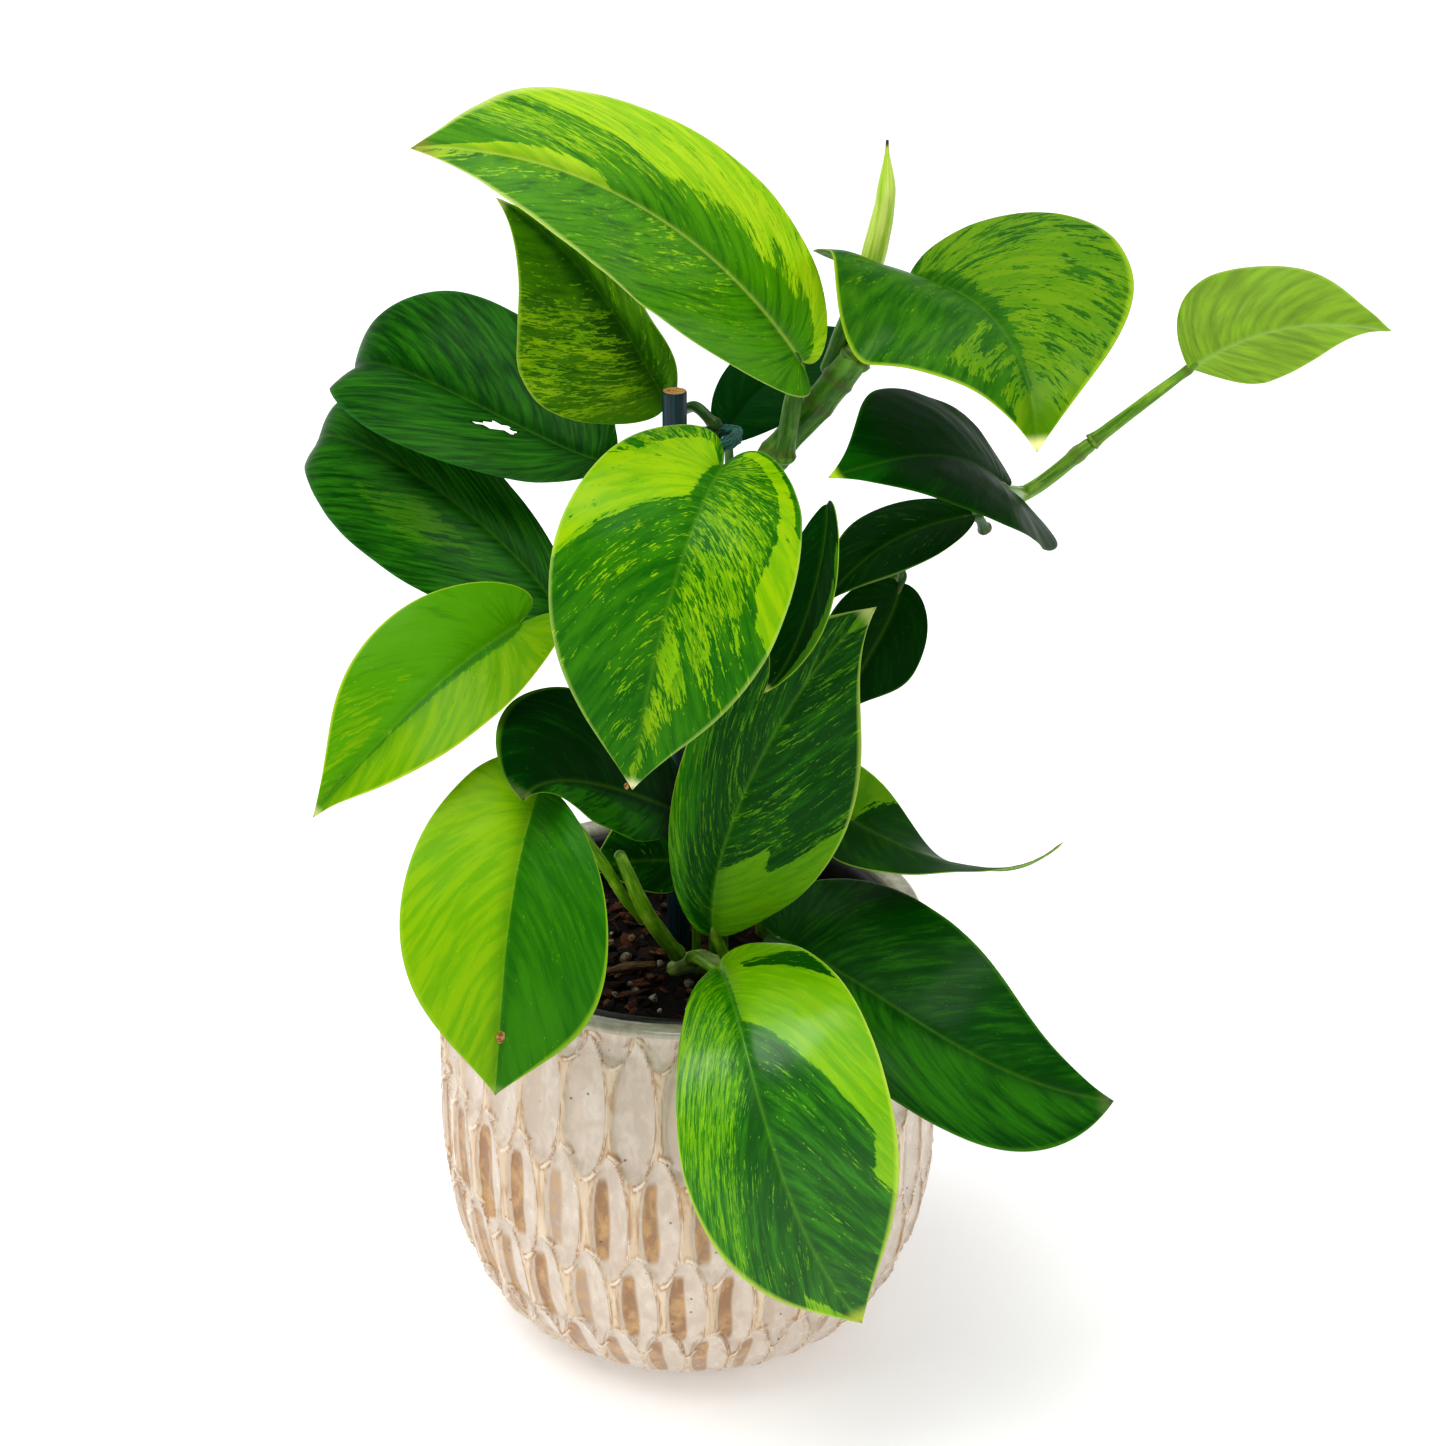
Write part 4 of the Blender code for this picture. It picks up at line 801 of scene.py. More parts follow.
pts, rad = STEMS["new_shoot"]
tube_piece("new_shoot_roll", [(47, 1.6, 317)] + list(pts), [2.2] + list(rad), shoot.mat, "new_shoot", "shoot_green", sides=28, step=.8, seed=8, rough=.03, shape=rolled, cap=.5)
tube_piece("shoot_sheath_skin", *STEMS["shoot_sheath"], green, "shoot_sheath", "stem_green", sides=20, step=.8, seed=9, rough=.04, rings=((.98, .5, 1.4),))

# dry root on the mix
root = Nodes("root_skin", roughness=.85, specular=.2)
vec = root.attribute("stem").outputs["Vector"]
grain = root.noise(root.coords(vec, (.25, .8, .8)), 1, 6, .7, .5)
root.colour(root.mix(root.step(grain, .3, .7), rgb(58, 40, 28), rgb(136, 110, 82)))
root.bump(grain, .9, .0006)
tube_piece("aerial_root_skin", *STEMS["aerial_root"], root.mat, "aerial_root", "root", sides=14, step=.5, seed=11, rough=.28)

# ---------------------------------------------------------------- cane
cane = Nodes("cane_coat_skin", roughness=.42, specular=.45)
vec = cane.attribute("stem").outputs["Vector"]
grain = cane.noise(cane.coords(vec, (.03, 1.6, 1.6)), 1, 5, .6, .1)
cane.colour(cane.mix(cane.step(grain, .35, .68), rgb(8, 26, 40), rgb(10, 70, 78)))
cane.bump(grain, .6, .0003)
cut = Nodes("cane_cut_end", roughness=.85, specular=.2)
obj = cut.object_coords()
fibre = cut.voronoi(cut.coords(obj, (1500, 1500, 1500)), 1.0)
ring = cut.noise(cut.coords(obj, (600, 600, 600)), 1, 4, .7)
c = cut.mix(cut.step(fibre, .12, .42), rgb(112, 66, 28), rgb(206, 160, 100))
c = cut.mix(cut.math("MULTIPLY", cut.step(ring, .55, .65), .6), c, rgb(150, 86, 44))
cut.colour(c)
cut.bump(fibre, .8, .0004)


def build_cane():
    (x, y, z0), (_, _, z1) = STEMS["support_cane"][0]
    r = STEMS["support_cane"][1][0]
    sides = 40
    ang = np.linspace(0, 2 * np.pi, sides, endpoint=False)
    prof = [(z0, r * .6), (z0 + .8, r)] + [(z, r) for z in np.linspace(z0 + 6, z1 - 2, 60)] + [(z1 - .5, r), (z1 - .1, r * .97), (z1, r * .93)]
    verts, att = [], []
    for z, q in prof:
        for a in ang:
            w = q * (1 + .015 * math.sin(3 * a + z * .02) + .012 * (value_noise(np.array(z / 9.0), np.array(a * 2.0), 2) - .5))
            verts.append((x + w * math.cos(a), y + w * math.sin(a), z))
            att.append((z, 3 * math.cos(a), 3 * math.sin(a)))
    faces, idx = [], []
    n = len(prof)
    for i in range(n - 1):
        for j in range(sides):
            k = (j + 1) % sides
            faces.append([i * sides + j, i * sides + k, (i + 1) * sides + k, (i + 1) * sides + j])
            idx.append(0)
    # end grain: a pale rim, then a slightly sunk fibrous face
    rings = [(.90, .02), (.82, -.12), (.6, -.05), (.38, -.15), (.18, -.05)]
    base = (n - 1) * sides
    for q, dz in rings:
        start = len(verts)
        for a in ang:
            dz2 = dz + .12 * (value_noise(np.array(3 * math.cos(a) * q + 9), np.array(3 * math.sin(a) * q + 9), 5) - .5)
            verts.append((x + r * q * math.cos(a), y + r * q * math.sin(a), z1 + float(dz2)))
            att.append((z1, 3 * math.cos(a), 3 * math.sin(a)))
        for j in range(sides):
            k = (j + 1) % sides
            faces.append([base + j, base + k, start + k, start + j])
            idx.append(1)
        base = start
    for z, top in ((z1 - .1, True), (z0 - .1, False)):
        verts.append((x, y, z))
        att.append((z, 0, 0))
        c = len(verts) - 1
        for j in range(sides):
            k = (j + 1) % sides
            faces.append([base + j, base + k, c] if top else [k, j, c])
            idx.append(1)
    ob = new_piece("support_cane_skin", np.array(verts) * MM, faces, [cane.mat, cut.mat], replaces=("support_cane",), material_index=idx)
    point_vector(ob, "stem", att)


build_cane()

# ---------------------------------------------------------------- tie: parallel yarn strands round the cane and the back vine
yarn = Nodes("tie_yarn", roughness=.92, specular=.2)
vec = yarn.attribute("stem").outputs["Vector"]
twist = yarn.noise(yarn.coords(vec, (1.2, .8, .8)), 1, 4, .7, .6)
yarn.colour(yarn.mix(yarn.step(twist, .35, .65), rgb(0, 58, 56), rgb(4, 136, 120)))
yarn.bump(twist, 1.0, .0006)
yarn.bsdf.inputs["Sheen Weight"].default_value = .4


def build_tie():
    cx, cy, cz = 2.6, 8.6, 275.2
    h, drop = math.radians(25.6), -.04
    verts, faces, att = [], [], []
    for s in range(9):
        lift = (s % 3 - 1) * 1.05
        out = (s // 3 - 1) * .85
        n, sides = 110, 8
        base = len(verts)
        centre = []
        for k in range(n):
            a = 2 * math.pi * k / n
            u = (12.6 + out + .25 * math.sin(5 * a + s)) * math.cos(a)
            v = (6.9 + out + .25 * math.sin(4 * a + 2 * s)) * math.sin(a)
            centre.append((cx + u * math.cos(h) - v * math.sin(h), cy + u * math.sin(h) + v * math.cos(h),
                           cz - drop * u + lift + .35 * math.sin(3 * a + s * 1.7)))
        centre = np.array(centre)
        tan = unit(np.roll(centre, -1, 0) - np.roll(centre, 1, 0))
        up = unit(np.array([0, 0, 1.0]) - tan * tan[:, 2:3])
        side = np.cross(tan, up)
        for k in range(n):
            for j in range(sides):
                b = 2 * math.pi * j / sides
                r = .62 * (1 + .25 * math.sin(2 * b + k * .9))
                verts.append(centre[k] + (up[k] * math.cos(b) + side[k] * math.sin(b)) * r)
                att.append((k * .5, math.cos(b) * 2, math.sin(b) * 2))
        for k in range(n):
            for j in range(sides):
                k2, j2 = (k + 1) % n, (j + 1) % sides
                faces.append([base + k * sides + j, base + k * sides + j2, base + k2 * sides + j2, base + k2 * sides + j])
    # short loose fibres
    rng = np.random.default_rng(4)
    loop = np.array(verts)
    for i in rng.integers(0, len(loop), 260):
        p = loop[i]
        d = unit((rng.normal(size=3))[None])[0]
        q = p + d * rng.uniform(.5, 1.3)
        w = unit(np.cross(d, rng.normal(size=3))[None])[0] * .07
        w2 = np.cross(unit(d[None])[0], w)
        b = len(verts)
        for c in (p + w, p - w * .5 + w2 * .87, p - w * .5 - w2 * .87, q):
            verts.append(c)
            att.append((0, 0, 0))
        faces += [[b, b + 1, b + 3], [b + 1, b + 2, b + 3], [b + 2, b, b + 3], [b, b + 2, b + 1]]
    ob = new_piece("plant_tie_yarn", np.array(verts) * MM, faces, [yarn.mat], replaces=("plant_tie",))
    point_vector(ob, "stem", att)


build_tie()

# ---------------------------------------------------------------- cachepot with rows of oval scoops
POT_HEIGHT, POT_BELLY, POT_BELLY_Z, POT_RIM, POT_RIM_INNER = 132.0, 75.0, 74.5, 69.0, 63.0
SCOOPS = 32
# rows: top height, bottom height, half width as a part of the pitch, offset in pitches
ROWS = ((147.0, 120.5, .44, .5, 0), (128.6, 85.0, .445, .0, 1), (93.5, 51.5, .405, .5, 2), (60.5, 22.0, .415, .0, 3), (31.5, 3.5, .44, .5, 4))


def pot_outer(z):
    z = np.asarray(z, float)
    t = np.clip(z / POT_BELLY_Z, 0, 1)
    low = 31.5 + (POT_BELLY - 31.5) * (1 - (1 - t) ** 2.48) ** (1 / 2.48)
    s = np.clip((z - POT_BELLY_Z) / (POT_HEIGHT - POT_BELLY_Z), 0, 1)
    return np.where(z < POT_BELLY_Z, low, POT_BELLY - (POT_BELLY - POT_RIM) * s ** 2.36)


def build_pot(mats):
    per = 26
    cols = SCOOPS * per
    ang = np.linspace(0, 2 * np.pi, cols, endpoint=False)
    zs = np.r_[2.0, 3.4, np.linspace(5, 24, 26), np.linspace(24.8, 129.0, 170), 129.5]
    r0 = pot_outer(zs)
    r0[0], r0[1] = 46.0, min(r0[1], 49.5)
    # unrolled coordinates
    u = (ang + np.pi / 2) / (2 * np.pi) * SCOOPS
    Z, U = np.meshgrid(zs, u, indexing="ij")
    h = np.zeros_like(Z)
    inside = np.zeros_like(Z)
    rim = np.zeros_like(Z)
    pool = np.zeros_like(Z)
    which = np.zeros_like(Z)
    near = np.full_like(Z, 9.0)
    for top, bottom, half, shift, row in ROWS:
        du = U - shift
        cell = np.round(du)
        jitter = (value_noise(cell * 3.7 % SCOOPS, np.full_like(cell, row * 5.0), 3) - .5)
        jit2 = (value_noise(cell * 1.9 % SCOOPS, np.full_like(cell, row * 9.0), 8) - .5)
        x = (du - cell - jitter * .04) / (half * (1 + .08 * jit2))
        y = (Z - (top + bottom) / 2 - jit2 * 1.4) / ((top - bottom) / 2)
        # egg shape: fullest a little below the middle, pointed above
        yy = np.clip(y, -1, 1)
        full = np.clip(1 - np.abs(yy) ** np.where(yy > 0, 2.1, 2.3), 0, 1) ** .62 * (1 - .07 * yy)
        e = np.abs(x) / np.maximum(full, 1e-3)
        e = np.where(np.abs(y) >= 1, 3.0, e)
        # distance measure from the outline that also works past the tips
        ell = np.sqrt((x * .95) ** 2 + y ** 2)
        d = np.minimum(np.where(np.abs(y) < 1, e, 9), np.where(np.abs(y) >= .9, ell, 9))
        ins = smooth(1.04, .90, d) if False else smooth(-1.03, -.90, -d)
        bowl = np.clip(1 - (x / np.maximum(full, 1e-3)) ** 2, 0, 1) ** .55
        # the left wall is the steeper one
        skew = 1 + .28 * np.clip(-x / np.maximum(full, 1e-3), -1, 1)
        depth = 1.55 if row in (1, 2, 3) else 1.2
        h = np.where(d < 1, -depth * bowl * skew * smooth(0, .22, 1 - np.abs(y)) * (.75 + .25 * (1 - y * .4)), h)
        inside = np.maximum(inside, ins)
        # rim: the raised ridge round each scoop, weighted to the right-hand side; in the glaze it also carries the
        # painted highlight on the crest
        rim = np.maximum(rim, np.exp(-((d - 1.03) / .06) ** 2) * (.62 + .38 * np.clip(x / np.maximum(full, 1e-3), -1, 1)))
        edge_x = x / np.maximum(full, 1e-3)
        p = smooth(-.98, -.80, -np.abs(edge_x)) * smooth(-.25, .35, -edge_x + .06 * np.sin(Z * .22 + cell)) * smooth(.0, .45, 1 - np.abs(y + .05) * 1.1)
        p = p * (0.30 if row <= 1 else (1.0 if row == 2 else .66)) * (.45 + 1.1 * (value_noise(cell * 2.3, np.full_like(cell, row * 4.0), 6)))
        pool = np.where(d < 1, p, pool)
        near = np.minimum(near, np.abs(d - 1))
        which = np.where(d < 1, row, which)
    # the webs between scoops are soft vertical ribs
    web = (1 - inside) * .0
    rib = .28 * (1 - inside) * (.5 + .5 * np.cos(2 * np.pi * U * 2))
    h = h + .38 * rim + rib
    h = h * smooth(4, 14, Z) * (1 - .75 * smooth(127.5, 129.6, Z))
    h += (value_noise(U * 1.3, Z / 14.0, 12) - .5) * .5 + (value_noise(U * 4.0, Z / 4.0, 15) - .5) * .12
    h = h - .25
    dr = np.gradient(r0, zs)
    nr, nz = 1 / np.hypot(1, dr), -dr / np.hypot(1, dr)
    R = r0[:, None] + h * nr[:, None]
    ZZ = zs[:, None] + h * nz[:, None]
    marks = np.stack([inside, rim, pool, np.ones_like(rim)], -1)
    # plain rows: foot below, rim band above, then the inside
    def ring(r, z, kind):
        return (np.full(cols, r), np.full(cols, z), np.tile([0, 0, 0, kind], (cols, 1)))
    lower = [ring(8, 0, 0), ring(24, 0, 0), ring(38, 0, 0), ring(42.5, 0.0, 0), ring(44.5, .35, 0), ring(45.4, 1.1, 0)]
    wob = .18 * np.sin(3 * ang) + .12 * np.sin(5 * ang + 1)
    upper = []
    for r, z in ((69.15, 129.9), (69.4, 130.4), (69.35, 131.1), (68.9, 131.7), (68.1, 132.0), (66.5, 132.05), (64.8, 131.9), (63.6, 131.5), (62.9, 130.6), (62.6, 129.0),
                 (62.6, 125.5), (62.9, 121), (64.2, 112), (66.6, 100), (68.6, 88), (69.3, 75), (68.9, 62), (67.2, 48), (63.6, 34), (58.0, 22), (52.0, 14), (47.0, 8.6), (43.5, 6.3), (30.0, 6.0), (10.0, 6.0)):
        rr, zz, kk = ring(r, z, .5 if z > 125 else .25)
        upper.append((rr + (wob * .6 if z > 120 else 0), zz + (wob * .4 if z > 129 else 0), kk))
    rowsR = [a[0] for a in lower] + list(R) + [a[0] for a in upper]
    rowsZ = [a[1] for a in lower] + list(ZZ) + [a[1] for a in upper]
    rowsM = [a[2] for a in lower] + list(marks) + [a[2] for a in upper]
    RR, ZZ, MMK = np.array(rowsR), np.array(rowsZ), np.array(rowsM)
    verts = np.stack([RR * np.cos(ang)[None], RR * np.sin(ang)[None], ZZ], -1).reshape(-1, 3)
    n = len(RR)
    i = np.arange(n - 1)[:, None] * cols
    j = np.arange(cols)[None, :]
    k = (j + 1) % cols
    quads = np.stack([i + j, i + k, i + cols + k, i + cols + j], -1).reshape(-1, 4)
    faces = quads.tolist()
    verts = np.vstack([verts, [[0, 0, 0], [0, 0, 6.0]]])
    b, t = len(verts) - 2, len(verts) - 1
    for q in range(cols):
        s = (q + 1) % cols
        faces.append([b, s, q])
        faces.append([t, (n - 1) * cols + q, (n - 1) * cols + s])
    ob = new_piece("cachepot_glazed", verts * MM, faces, mats, replaces=("cachepot",))
    m = np.vstack([MMK.reshape(-1, 4), [[0, 0, 0, 0], [0, 0, 0, .25]]])
    point_colour(ob, "glaze", m)
    full = np.zeros((n, cols, 3))
    full[..., 0] = RR * 0 + u[None, :]
    full[..., 1] = ZZ
    point_vector(ob, "wall", np.vstack([full.reshape(-1, 3), [[0, 0, 0], [0, 6, 0]]]))
    point_vector(ob, "extra", np.vstack([np.concatenate([np.zeros((len(lower), cols, 3)), np.stack([which, near, h], -1), np.zeros((len(upper), cols, 3))]).reshape(-1, 3), [[0, 0, 0], [0, 0, 0]]]))
    return ob


glaze = Nodes("reactive_glaze", roughness=.2, specular=.5)
obj = glaze.object_coords()
att = glaze.attribute("glaze")
inside, rim, pool = glaze.split(att.outputs["Color"])[:3]
kind = att.outputs["Alpha"]
wall = glaze.attribute("wall").outputs["Vector"]
soft = glaze.noise(glaze.coords(obj, (60, 60, 40)), 1, 4, .55)
mott = glaze.noise(glaze.coords(obj, (260, 260, 150)), 1, 5, .6, .4)
runs = glaze.noise(glaze.coords(obj, (420, 420, 60), (2, 1, 0)), 1, 5, .65, .8)
cream = glaze.mix(glaze.step(soft, .35, .65), rgb(214, 190, 160), rgb(230, 210, 184))
mauve = glaze.mix(glaze.step(mott, .35, .68), rgb(206, 188, 170), rgb(222, 208, 192))
body = glaze.mix(inside, cream, mauve)
amber_light, amber_dark = rgb(188, 140, 70), rgb(148, 98, 38)
# thin amber lines where the glaze breaks beside the rims
edge = glaze.math("MULTIPLY", rim, glaze.math("SUBTRACT", 1.0, rim))
line = glaze.math("MULTIPLY", edge, glaze.step(glaze.math("ADD", runs, glaze.math("MULTIPLY", soft, .4)), .58, .82))
body = glaze.mix(glaze.math("MULTIPLY", line, 3.4, clamp=True), body, rgb(160, 112, 60))
# the webs carry amber runs
web = glaze.math("MULTIPLY", glaze.math("SUBTRACT", 1.0, inside), glaze.step(runs, .50, .66))
body = glaze.mix(glaze.math("MULTIPLY", web, .65), body, rgb(190, 146, 92))
# pooled glaze in the scoops
p = glaze.math("ADD", pool, glaze.math("MULTIPLY", glaze.math("SUBTRACT", mott, .5), .45))
pooled = glaze.math("MULTIPLY", glaze.step(p, .28, .66), glaze.step(pool, .04, .18))
body = glaze.mix(glaze.math("MULTIPLY", pooled, .85), body, glaze.mix(glaze.step(mott, .40, .62), amber_dark, amber_light))
# bright crest: pale where the glaze breaks thin over the ridges, plus a painted highlight that shows only on the
# right-hand ridges
body = glaze.mix(glaze.math("MULTIPLY", glaze.step(rim, .55, .95), .6), body, rgb(242, 228, 208))
# dark iron specks
cells = glaze.voronoi(glaze.coords(obj, (230, 230, 230)), 1.0)
rare = glaze.noise(glaze.coords(obj, (90, 90, 90), (5, 5, 5)), 1, 2, .5)
speck = glaze.math("MULTIPLY", glaze.step(glaze.math("MULTIPLY", cells, -1), -.13, -.07), glaze.step(rare, .52, .60))
body = glaze.mix(glaze.math("MULTIPLY", speck, .8), body, rgb(92, 66, 48))
# greige band on the rim, biscuit foot, plain glazed inside
band = glaze.step(glaze.math("MULTIPLY", glaze.math("ABSOLUTE", glaze.math("SUBTRACT", kind, .5)), -1), -.12, -.02)
body = glaze.mix(band, body, glaze.mix(glaze.step(mott, .3, .7), rgb(166, 160, 142), rgb(190, 184, 166)))
inner = glaze.step(glaze.math("MULTIPLY", glaze.math("ABSOLUTE", glaze.math("SUBTRACT", kind, .25)), -1), -.12, -.02)
body = glaze.mix(inner, body, rgb(196, 182, 164))
foot = glaze.step(glaze.math("MULTIPLY", kind, -1), -.12, -.02)
body = glaze.mix(foot, body, rgb(190, 166, 138))
glaze.colour(body)
glaze.link(glaze.range(mott, .3, .7, .14, .30), glaze.bsdf.inputs["Roughness"])
glaze.bump(glaze.math("ADD", glaze.math("MULTIPLY", mott, .6), glaze.math("MULTIPLY", runs, .4)), .25, .0004)
glaze.bsdf.inputs["Coat Weight"].default_value = .5
glaze.bsdf.inputs["Coat Roughness"].default_value = .06
build_pot([glaze.mat])

# ---------------------------------------------------------------- nursery pot
plastic = Nodes("nursery_plastic", roughness=.38, specular=.5)
obj = plastic.object_coords()
scuff = plastic.noise(plastic.coords(obj, (300, 300, 120)), 1, 6, .65)
plastic.colour(plastic.mix(plastic.step(scuff, .35, .75), rgb(10, 10, 11), rgb(30, 29, 29)))
plastic.link(plastic.range(scuff, .3, .7, .28, .5), plastic.bsdf.inputs["Roughness"])
plastic.bump(scuff, .3, .0003)


def revolve(name, profile, cols, mat, node, wobble=0.0):
    ang = np.linspace(0, 2 * np.pi, cols, endpoint=False)
    verts, faces = [], []
    for r, z in profile:
        for a in ang:
            q = r + wobble * (math.sin(2 * a + .5) + .5 * math.sin(5 * a))
            verts.append((q * math.cos(a), q * math.sin(a), z))
    n = len(profile)
    for i in range(n - 1):
        for j in range(cols):
            k = (j + 1) % cols
            faces.append([i * cols + j, i * cols + k, (i + 1) * cols + k, (i + 1) * cols + j])
    verts += [(0, 0, profile[0][1]), (0, 0, profile[-1][1])]
    for j in range(cols):
        k = (j + 1) % cols
        faces.append([len(verts) - 2, k, j])
        faces.append([len(verts) - 1, (n - 1) * cols + j, (n - 1) * cols + k])
    return new_piece(name, np.array(verts) * MM, faces, [mat], replaces=(node,))


revolve("nursery_pot_shell", [(30, 6.3), (41.6, 6.3), (42.4, 7.0), (43.2, 12), (50.0, 60), (58.0, 118), (58.6, 125.6), (61.0, 125.8), (61.4, 126.2), (61.4, 129.6), (61.2, 130.2), (60.6, 130.5),
                             (59.2, 130.5), (58.5, 130.2), (58.0, 129.4), (57.5, 124), (56.8, 117), (49.0, 60), (42.2, 12), (41.2, 8.2), (30, 7.6)], 128, plastic.mat, "nursery_pot", wobble=.08)

# ---------------------------------------------------------------- potting mix: rough bed with bark, fibre and perlite
mix = Nodes("bark_and_peat", roughness=.9, specular=.25)
obj = mix.object_coords()
tint = mix.attribute("tint").outputs["Color"]
rough_n = mix.noise(mix.coords(obj, (700, 700, 700)), 1, 7, .7)
mix.colour(mix.mix(1.0, tint, mix.mix(mix.step(rough_n, .3, .75), rgb(120, 120, 120), rgb(255, 255, 255)), "MULTIPLY"))
mix.bump(rough_n, .9, .0010)
mix.link(mix.range(rough_n, .3, .7, .6, .95), mix.bsdf.inputs["Roughness"])


def build_mix():
    rng = np.random.default_rng(21)
    verts, faces, tint = [], [], []
    cols, rings = 96, 34
    R = 55.6
    earth = np.array(rgb(34, 22, 16)[:3])
    for i in range(rings + 1):
        r = R * i / rings
        for j in range(cols):
            a = 2 * math.pi * j / cols
            x, y = r * math.cos(a), r * math.sin(a)
            z = 116.4 + 3.2 * (value_noise(np.array(x / 7 + 20), np.array(y / 7 + 20), 3) - .4) + 1.6 * (value_noise(np.array(x / 2.5 + 20), np.array(y / 2.5 + 20), 7) - .5)
            verts.append((x, y, float(z)))
            tint.append(earth * (.6 + .8 * float(value_noise(np.array(x / 4 + 9), np.array(y / 4 + 9), 2))))
    for i in range(rings):
        for j in range(cols):
            k = (j + 1) % cols
            faces.append([i * cols + j, (i + 1) * cols + j, (i + 1) * cols + k, i * cols + k])
    # the side and the bottom follow the nursery pot
    prof = [(54.8, 110), (49.0, 62), (42.0, 12), (40.6, 8.2)]
    base = rings * cols
    for r, z in prof:
        s = len(verts)
        for j in range(cols):
            a = 2 * math.pi * j / cols
            verts.append((r * math.cos(a), r * math.sin(a), z))
            tint.append(earth)
        for j in range(cols):
            k = (j + 1) % cols
            faces.append([base + j, s + j, s + k, base + k])
        base = s
    verts.append((0, 0, 8.2))
    tint.append(earth)
    for j in range(cols):
        faces.append([base + j, len(verts) - 1, base + (j + 1) % cols])
    bark = [rgb(86, 44, 26)[:3], rgb(58, 30, 20)[:3], rgb(112, 66, 42)[:3], rgb(40, 26, 20)[:3], rgb(28, 20, 17)[:3], rgb(134, 92, 62)[:3]]
    stems = [(9, -4), (14, 22), (8, 13), (22, 12), (-3, 6)]

    def chip(c, size, colour, flat=.4, jag=.22, turn=None):
        """An irregular slab: a box with cut corners and a ridge."""
        b = len(verts)
        basis = np.linalg.qr(rng.normal(size=(3, 3)))[0] if turn is None else turn
        ring = 7
        a0 = rng.uniform(0, 6)
        for layer, f in ((-.5, .72), (-.2, 1.0), (.25, .95), (.5, .6)):
            for j in range(ring):
                a = a0 + 2 * math.pi * j / ring
                r = f * (1 + jag * rng.normal())
                p = np.array([r * math.cos(a) * size[0], r * math.sin(a) * size[1], layer * size[2]])
                verts.append(tuple(c + basis @ p))
                tint.append(np.array(colour) * rng.uniform(.75, 1.25))
        for l in range(3):
            for j in range(ring):
                k = (j + 1) % ring
                faces.append([b + l * ring + j, b + l * ring + k, b + (l + 1) * ring + k, b + (l + 1) * ring + j])
        verts.append(tuple(c + basis @ np.array([0, 0, -.6 * size[2]])))
        tint.append(np.array(colour))
        verts.append(tuple(c + basis @ np.array([0, 0, .6 * size[2]])))
        tint.append(np.array(colour))
        for j in range(ring):
            k = (j + 1) % ring
            faces.append([len(verts) - 2, b + k, b + j])
            faces.append([len(verts) - 1, b + 3 * ring + j, b + 3 * ring + k])

    placed = 0
    while placed < 520:
        r, a = 53 * math.sqrt(rng.uniform()), rng.uniform(0, 2 * math.pi)
        x, y = r * math.cos(a), r * math.sin(a)
        if min(math.hypot(x - p, y - q) for p, q in stems) < 4.2:
            continue
        s = rng.uniform(1.2, 4.6) if placed > 150 else rng.uniform(3, 6.5)
        z = 117.2 + rng.uniform(-.6, 1.6)
        tilt = rng.normal(size=2) * .35
        up = unit(np.array([[tilt[0], tilt[1], 1.0]]))[0]
        e = unit(np.cross(up, rng.normal(size=3))[None])[0]
        turn = np.stack([e, np.cross(up, e), up], 1)
        chip(np.array([x, y, z]), (s * rng.uniform(.8, 1.5) * .6, s * .45, s * rng.uniform(.25, .5)), bark[rng.integers(0, len(bark))], turn=turn)
        placed += 1
    for k in range(46):
        r, a = 50 * math.sqrt(rng.uniform()), rng.uniform(0, 2 * math.pi)
        s = rng.uniform(.6, 1.5)
        g = rng.uniform(150, 215)
        chip(np.array([r * math.cos(a), r * math.sin(a), 118.6 + rng.uniform(0, .8)]), (s, s, s * 1.4), rgb(g, g - 8, g - 22)[:3], jag=.12)
    # the pale pebble and cut root ends in front
    chip(np.array([-18.5, -6.0, 120.2]), (1.9, 1.5, 2.4), rgb(176, 158, 130)[:3], jag=.08)
    chip(np.array([-17.0, 7.0, 119.6]), (1.3, 1.1, 2.0), rgb(170, 130, 92)[:3], jag=.1)
    chip(np.array([-24.0, 3.5, 119.6]), (1.1, 2.0, 1.8), rgb(196, 176, 140)[:3], jag=.1)
    # thin fibres
    for k in range(120):
        r, a = 50 * math.sqrt(rng.uniform()), rng.uniform(0, 2 * math.pi)
        c = np.array([r * math.cos(a), r * math.sin(a), 118.8 + rng.uniform(0, 1.2)])
        d = unit(np.array([[rng.normal(), rng.normal(), rng.normal() * .15]]))[0]
        ln, w = rng.uniform(3, 10), rng.uniform(.12, .32)
        bend = rng.normal(size=3) * np.array([1.2, 1.2, .3])
        e = unit(np.cross(d, [0, 0, 1.0])[None])[0]
        f = np.cross(e, d)
        b = len(verts)
        col = bark[rng.integers(0, 4)]
        seg = 6
        for s in range(seg + 1):
            t = s / seg - .5
            p = c + d * ln * t + bend * (.25 - t * t) * 2
            q = w * (1 - abs(t) * 1.2)
            for ang in (0, 2.09, 4.19):
                verts.append(tuple(p + (e * math.cos(ang) + f * math.sin(ang)) * q))
                tint.append(np.array(col) * 1.3)
        for s in range(seg):
            for j in range(3):
                k2 = (j + 1) % 3
                faces.append([b + s * 3 + j, b + s * 3 + k2, b + s * 3 + 3 + k2, b + s * 3 + 3 + j])
        faces.append([b + 2, b + 1, b])
        faces.append([b + seg * 3, b + seg * 3 + 1, b + seg * 3 + 2])
    ob = new_piece("potting_mix_bed", np.array(verts) * MM, faces, [mix.mat], replaces=("potting_mix",), smooth_shade=False)
    point_colour(ob, "tint", np.array(tint))


build_mix()

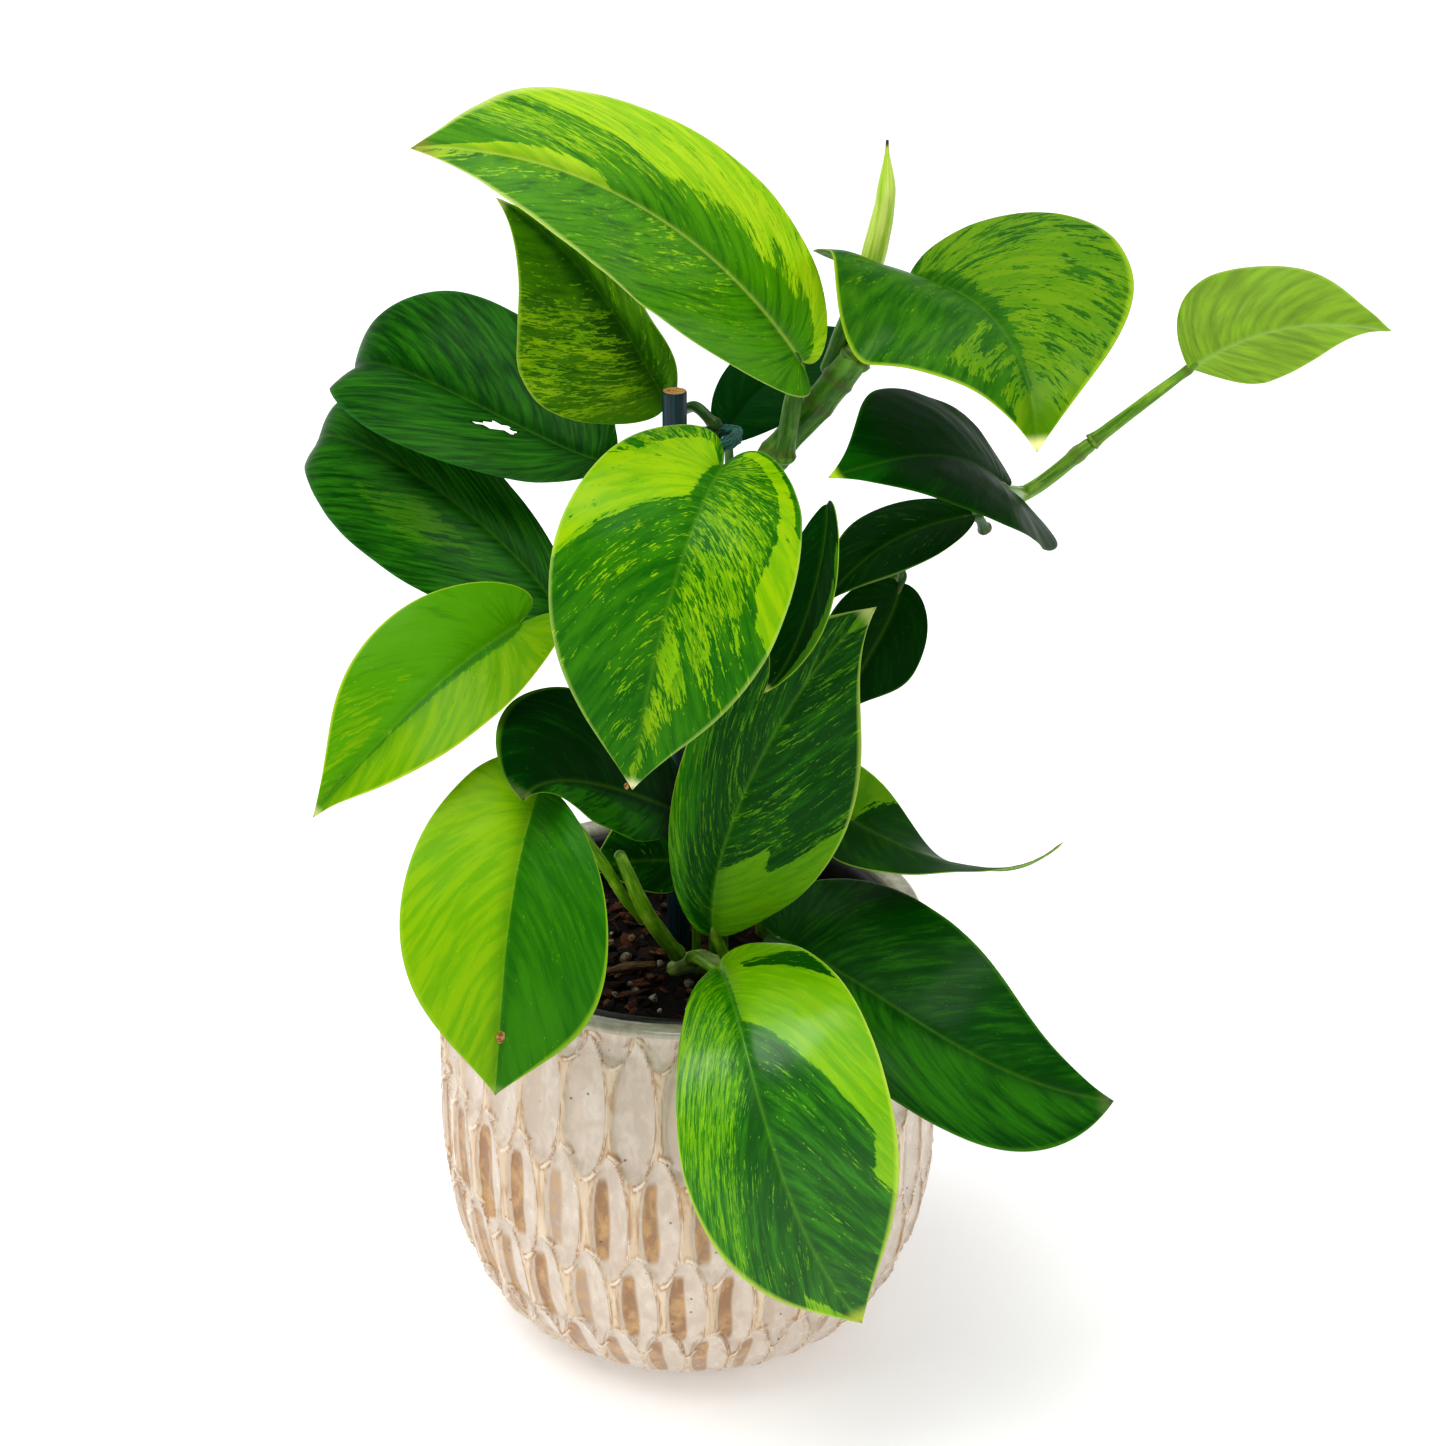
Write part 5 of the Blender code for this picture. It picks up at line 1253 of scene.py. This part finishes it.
# ---------------------------------------------------------------- floor, light and camera
floor_mesh = bpy.data.meshes.new("floor")
floor_mesh.from_pydata([(-6, -6, -.0002), (6, -6, -.0002), (6, 6, -.0002), (-6, 6, -.0002)], [], [[0, 1, 2, 3]])
floor = bpy.data.objects.new("floor", floor_mesh)
bpy.context.collection.objects.link(floor)
f = Nodes("floor_paper", roughness=.9, specular=.1)
f.colour(rgb(226, 226, 226))
f.bsdf.inputs["Emission Color"].default_value = (1, 1, 1, 1)
f.bsdf.inputs["Emission Strength"].default_value = .27
floor.data.materials.append(f.mat)

world = bpy.data.worlds.new("studio")
bpy.context.scene.world = world
world.use_nodes = True
bg = world.node_tree.nodes["Background"]
wt = world.node_tree
direction = wt.nodes.new("ShaderNodeTexCoord")
parts = wt.nodes.new("ShaderNodeSeparateXYZ")
ramp = wt.nodes.new("ShaderNodeMapRange")
wt.links.new(direction.outputs["Generated"], parts.inputs[0])
wt.links.new(parts.outputs["Z"], ramp.inputs["Value"])
ramp.interpolation_type = "SMOOTHSTEP"
ramp.inputs["From Min"].default_value = .04
ramp.inputs["From Max"].default_value = .40
ramp.inputs["To Min"].default_value = .62
ramp.inputs["To Max"].default_value = .24
wt.links.new(ramp.outputs["Result"], bg.inputs["Strength"])
bg.inputs["Color"].default_value = (.97, .985, 1.0, 1)


def sun(name, direction, strength, angle, colour=(1, 1, 1)):
    data = bpy.data.lights.new(name, "SUN")
    data.energy = strength
    data.angle = math.radians(angle)
    data.color = colour
    ob = bpy.data.objects.new(name, data)
    ob.rotation_euler = Vector(direction).to_track_quat("Z", "Y").to_euler()
    bpy.context.collection.objects.link(ob)
    return ob


sun("key", (-.32, -.20, 1.0), 1.55, 40, (1, .99, .965))
sun("top", (.12, .10, 1.0), 1.15, 110, (.98, .99, 1))
sun("front", (-.15, -1.0, .55), .48, 100, (1, 1, 1))

cam_data = bpy.data.cameras.new("camera")
cam_data.lens = 71.5
cam_data.sensor_width = 36
cam = bpy.data.objects.new("camera", cam_data)
cam.location = (.0103, -.748, .536)
cam.rotation_euler = (math.radians(65.4), 0, 0)
bpy.context.collection.objects.link(cam)
bpy.context.scene.camera = cam
bpy.context.scene.view_settings.view_transform = "Standard"
bpy.context.scene.view_settings.look = "Medium High Contrast"
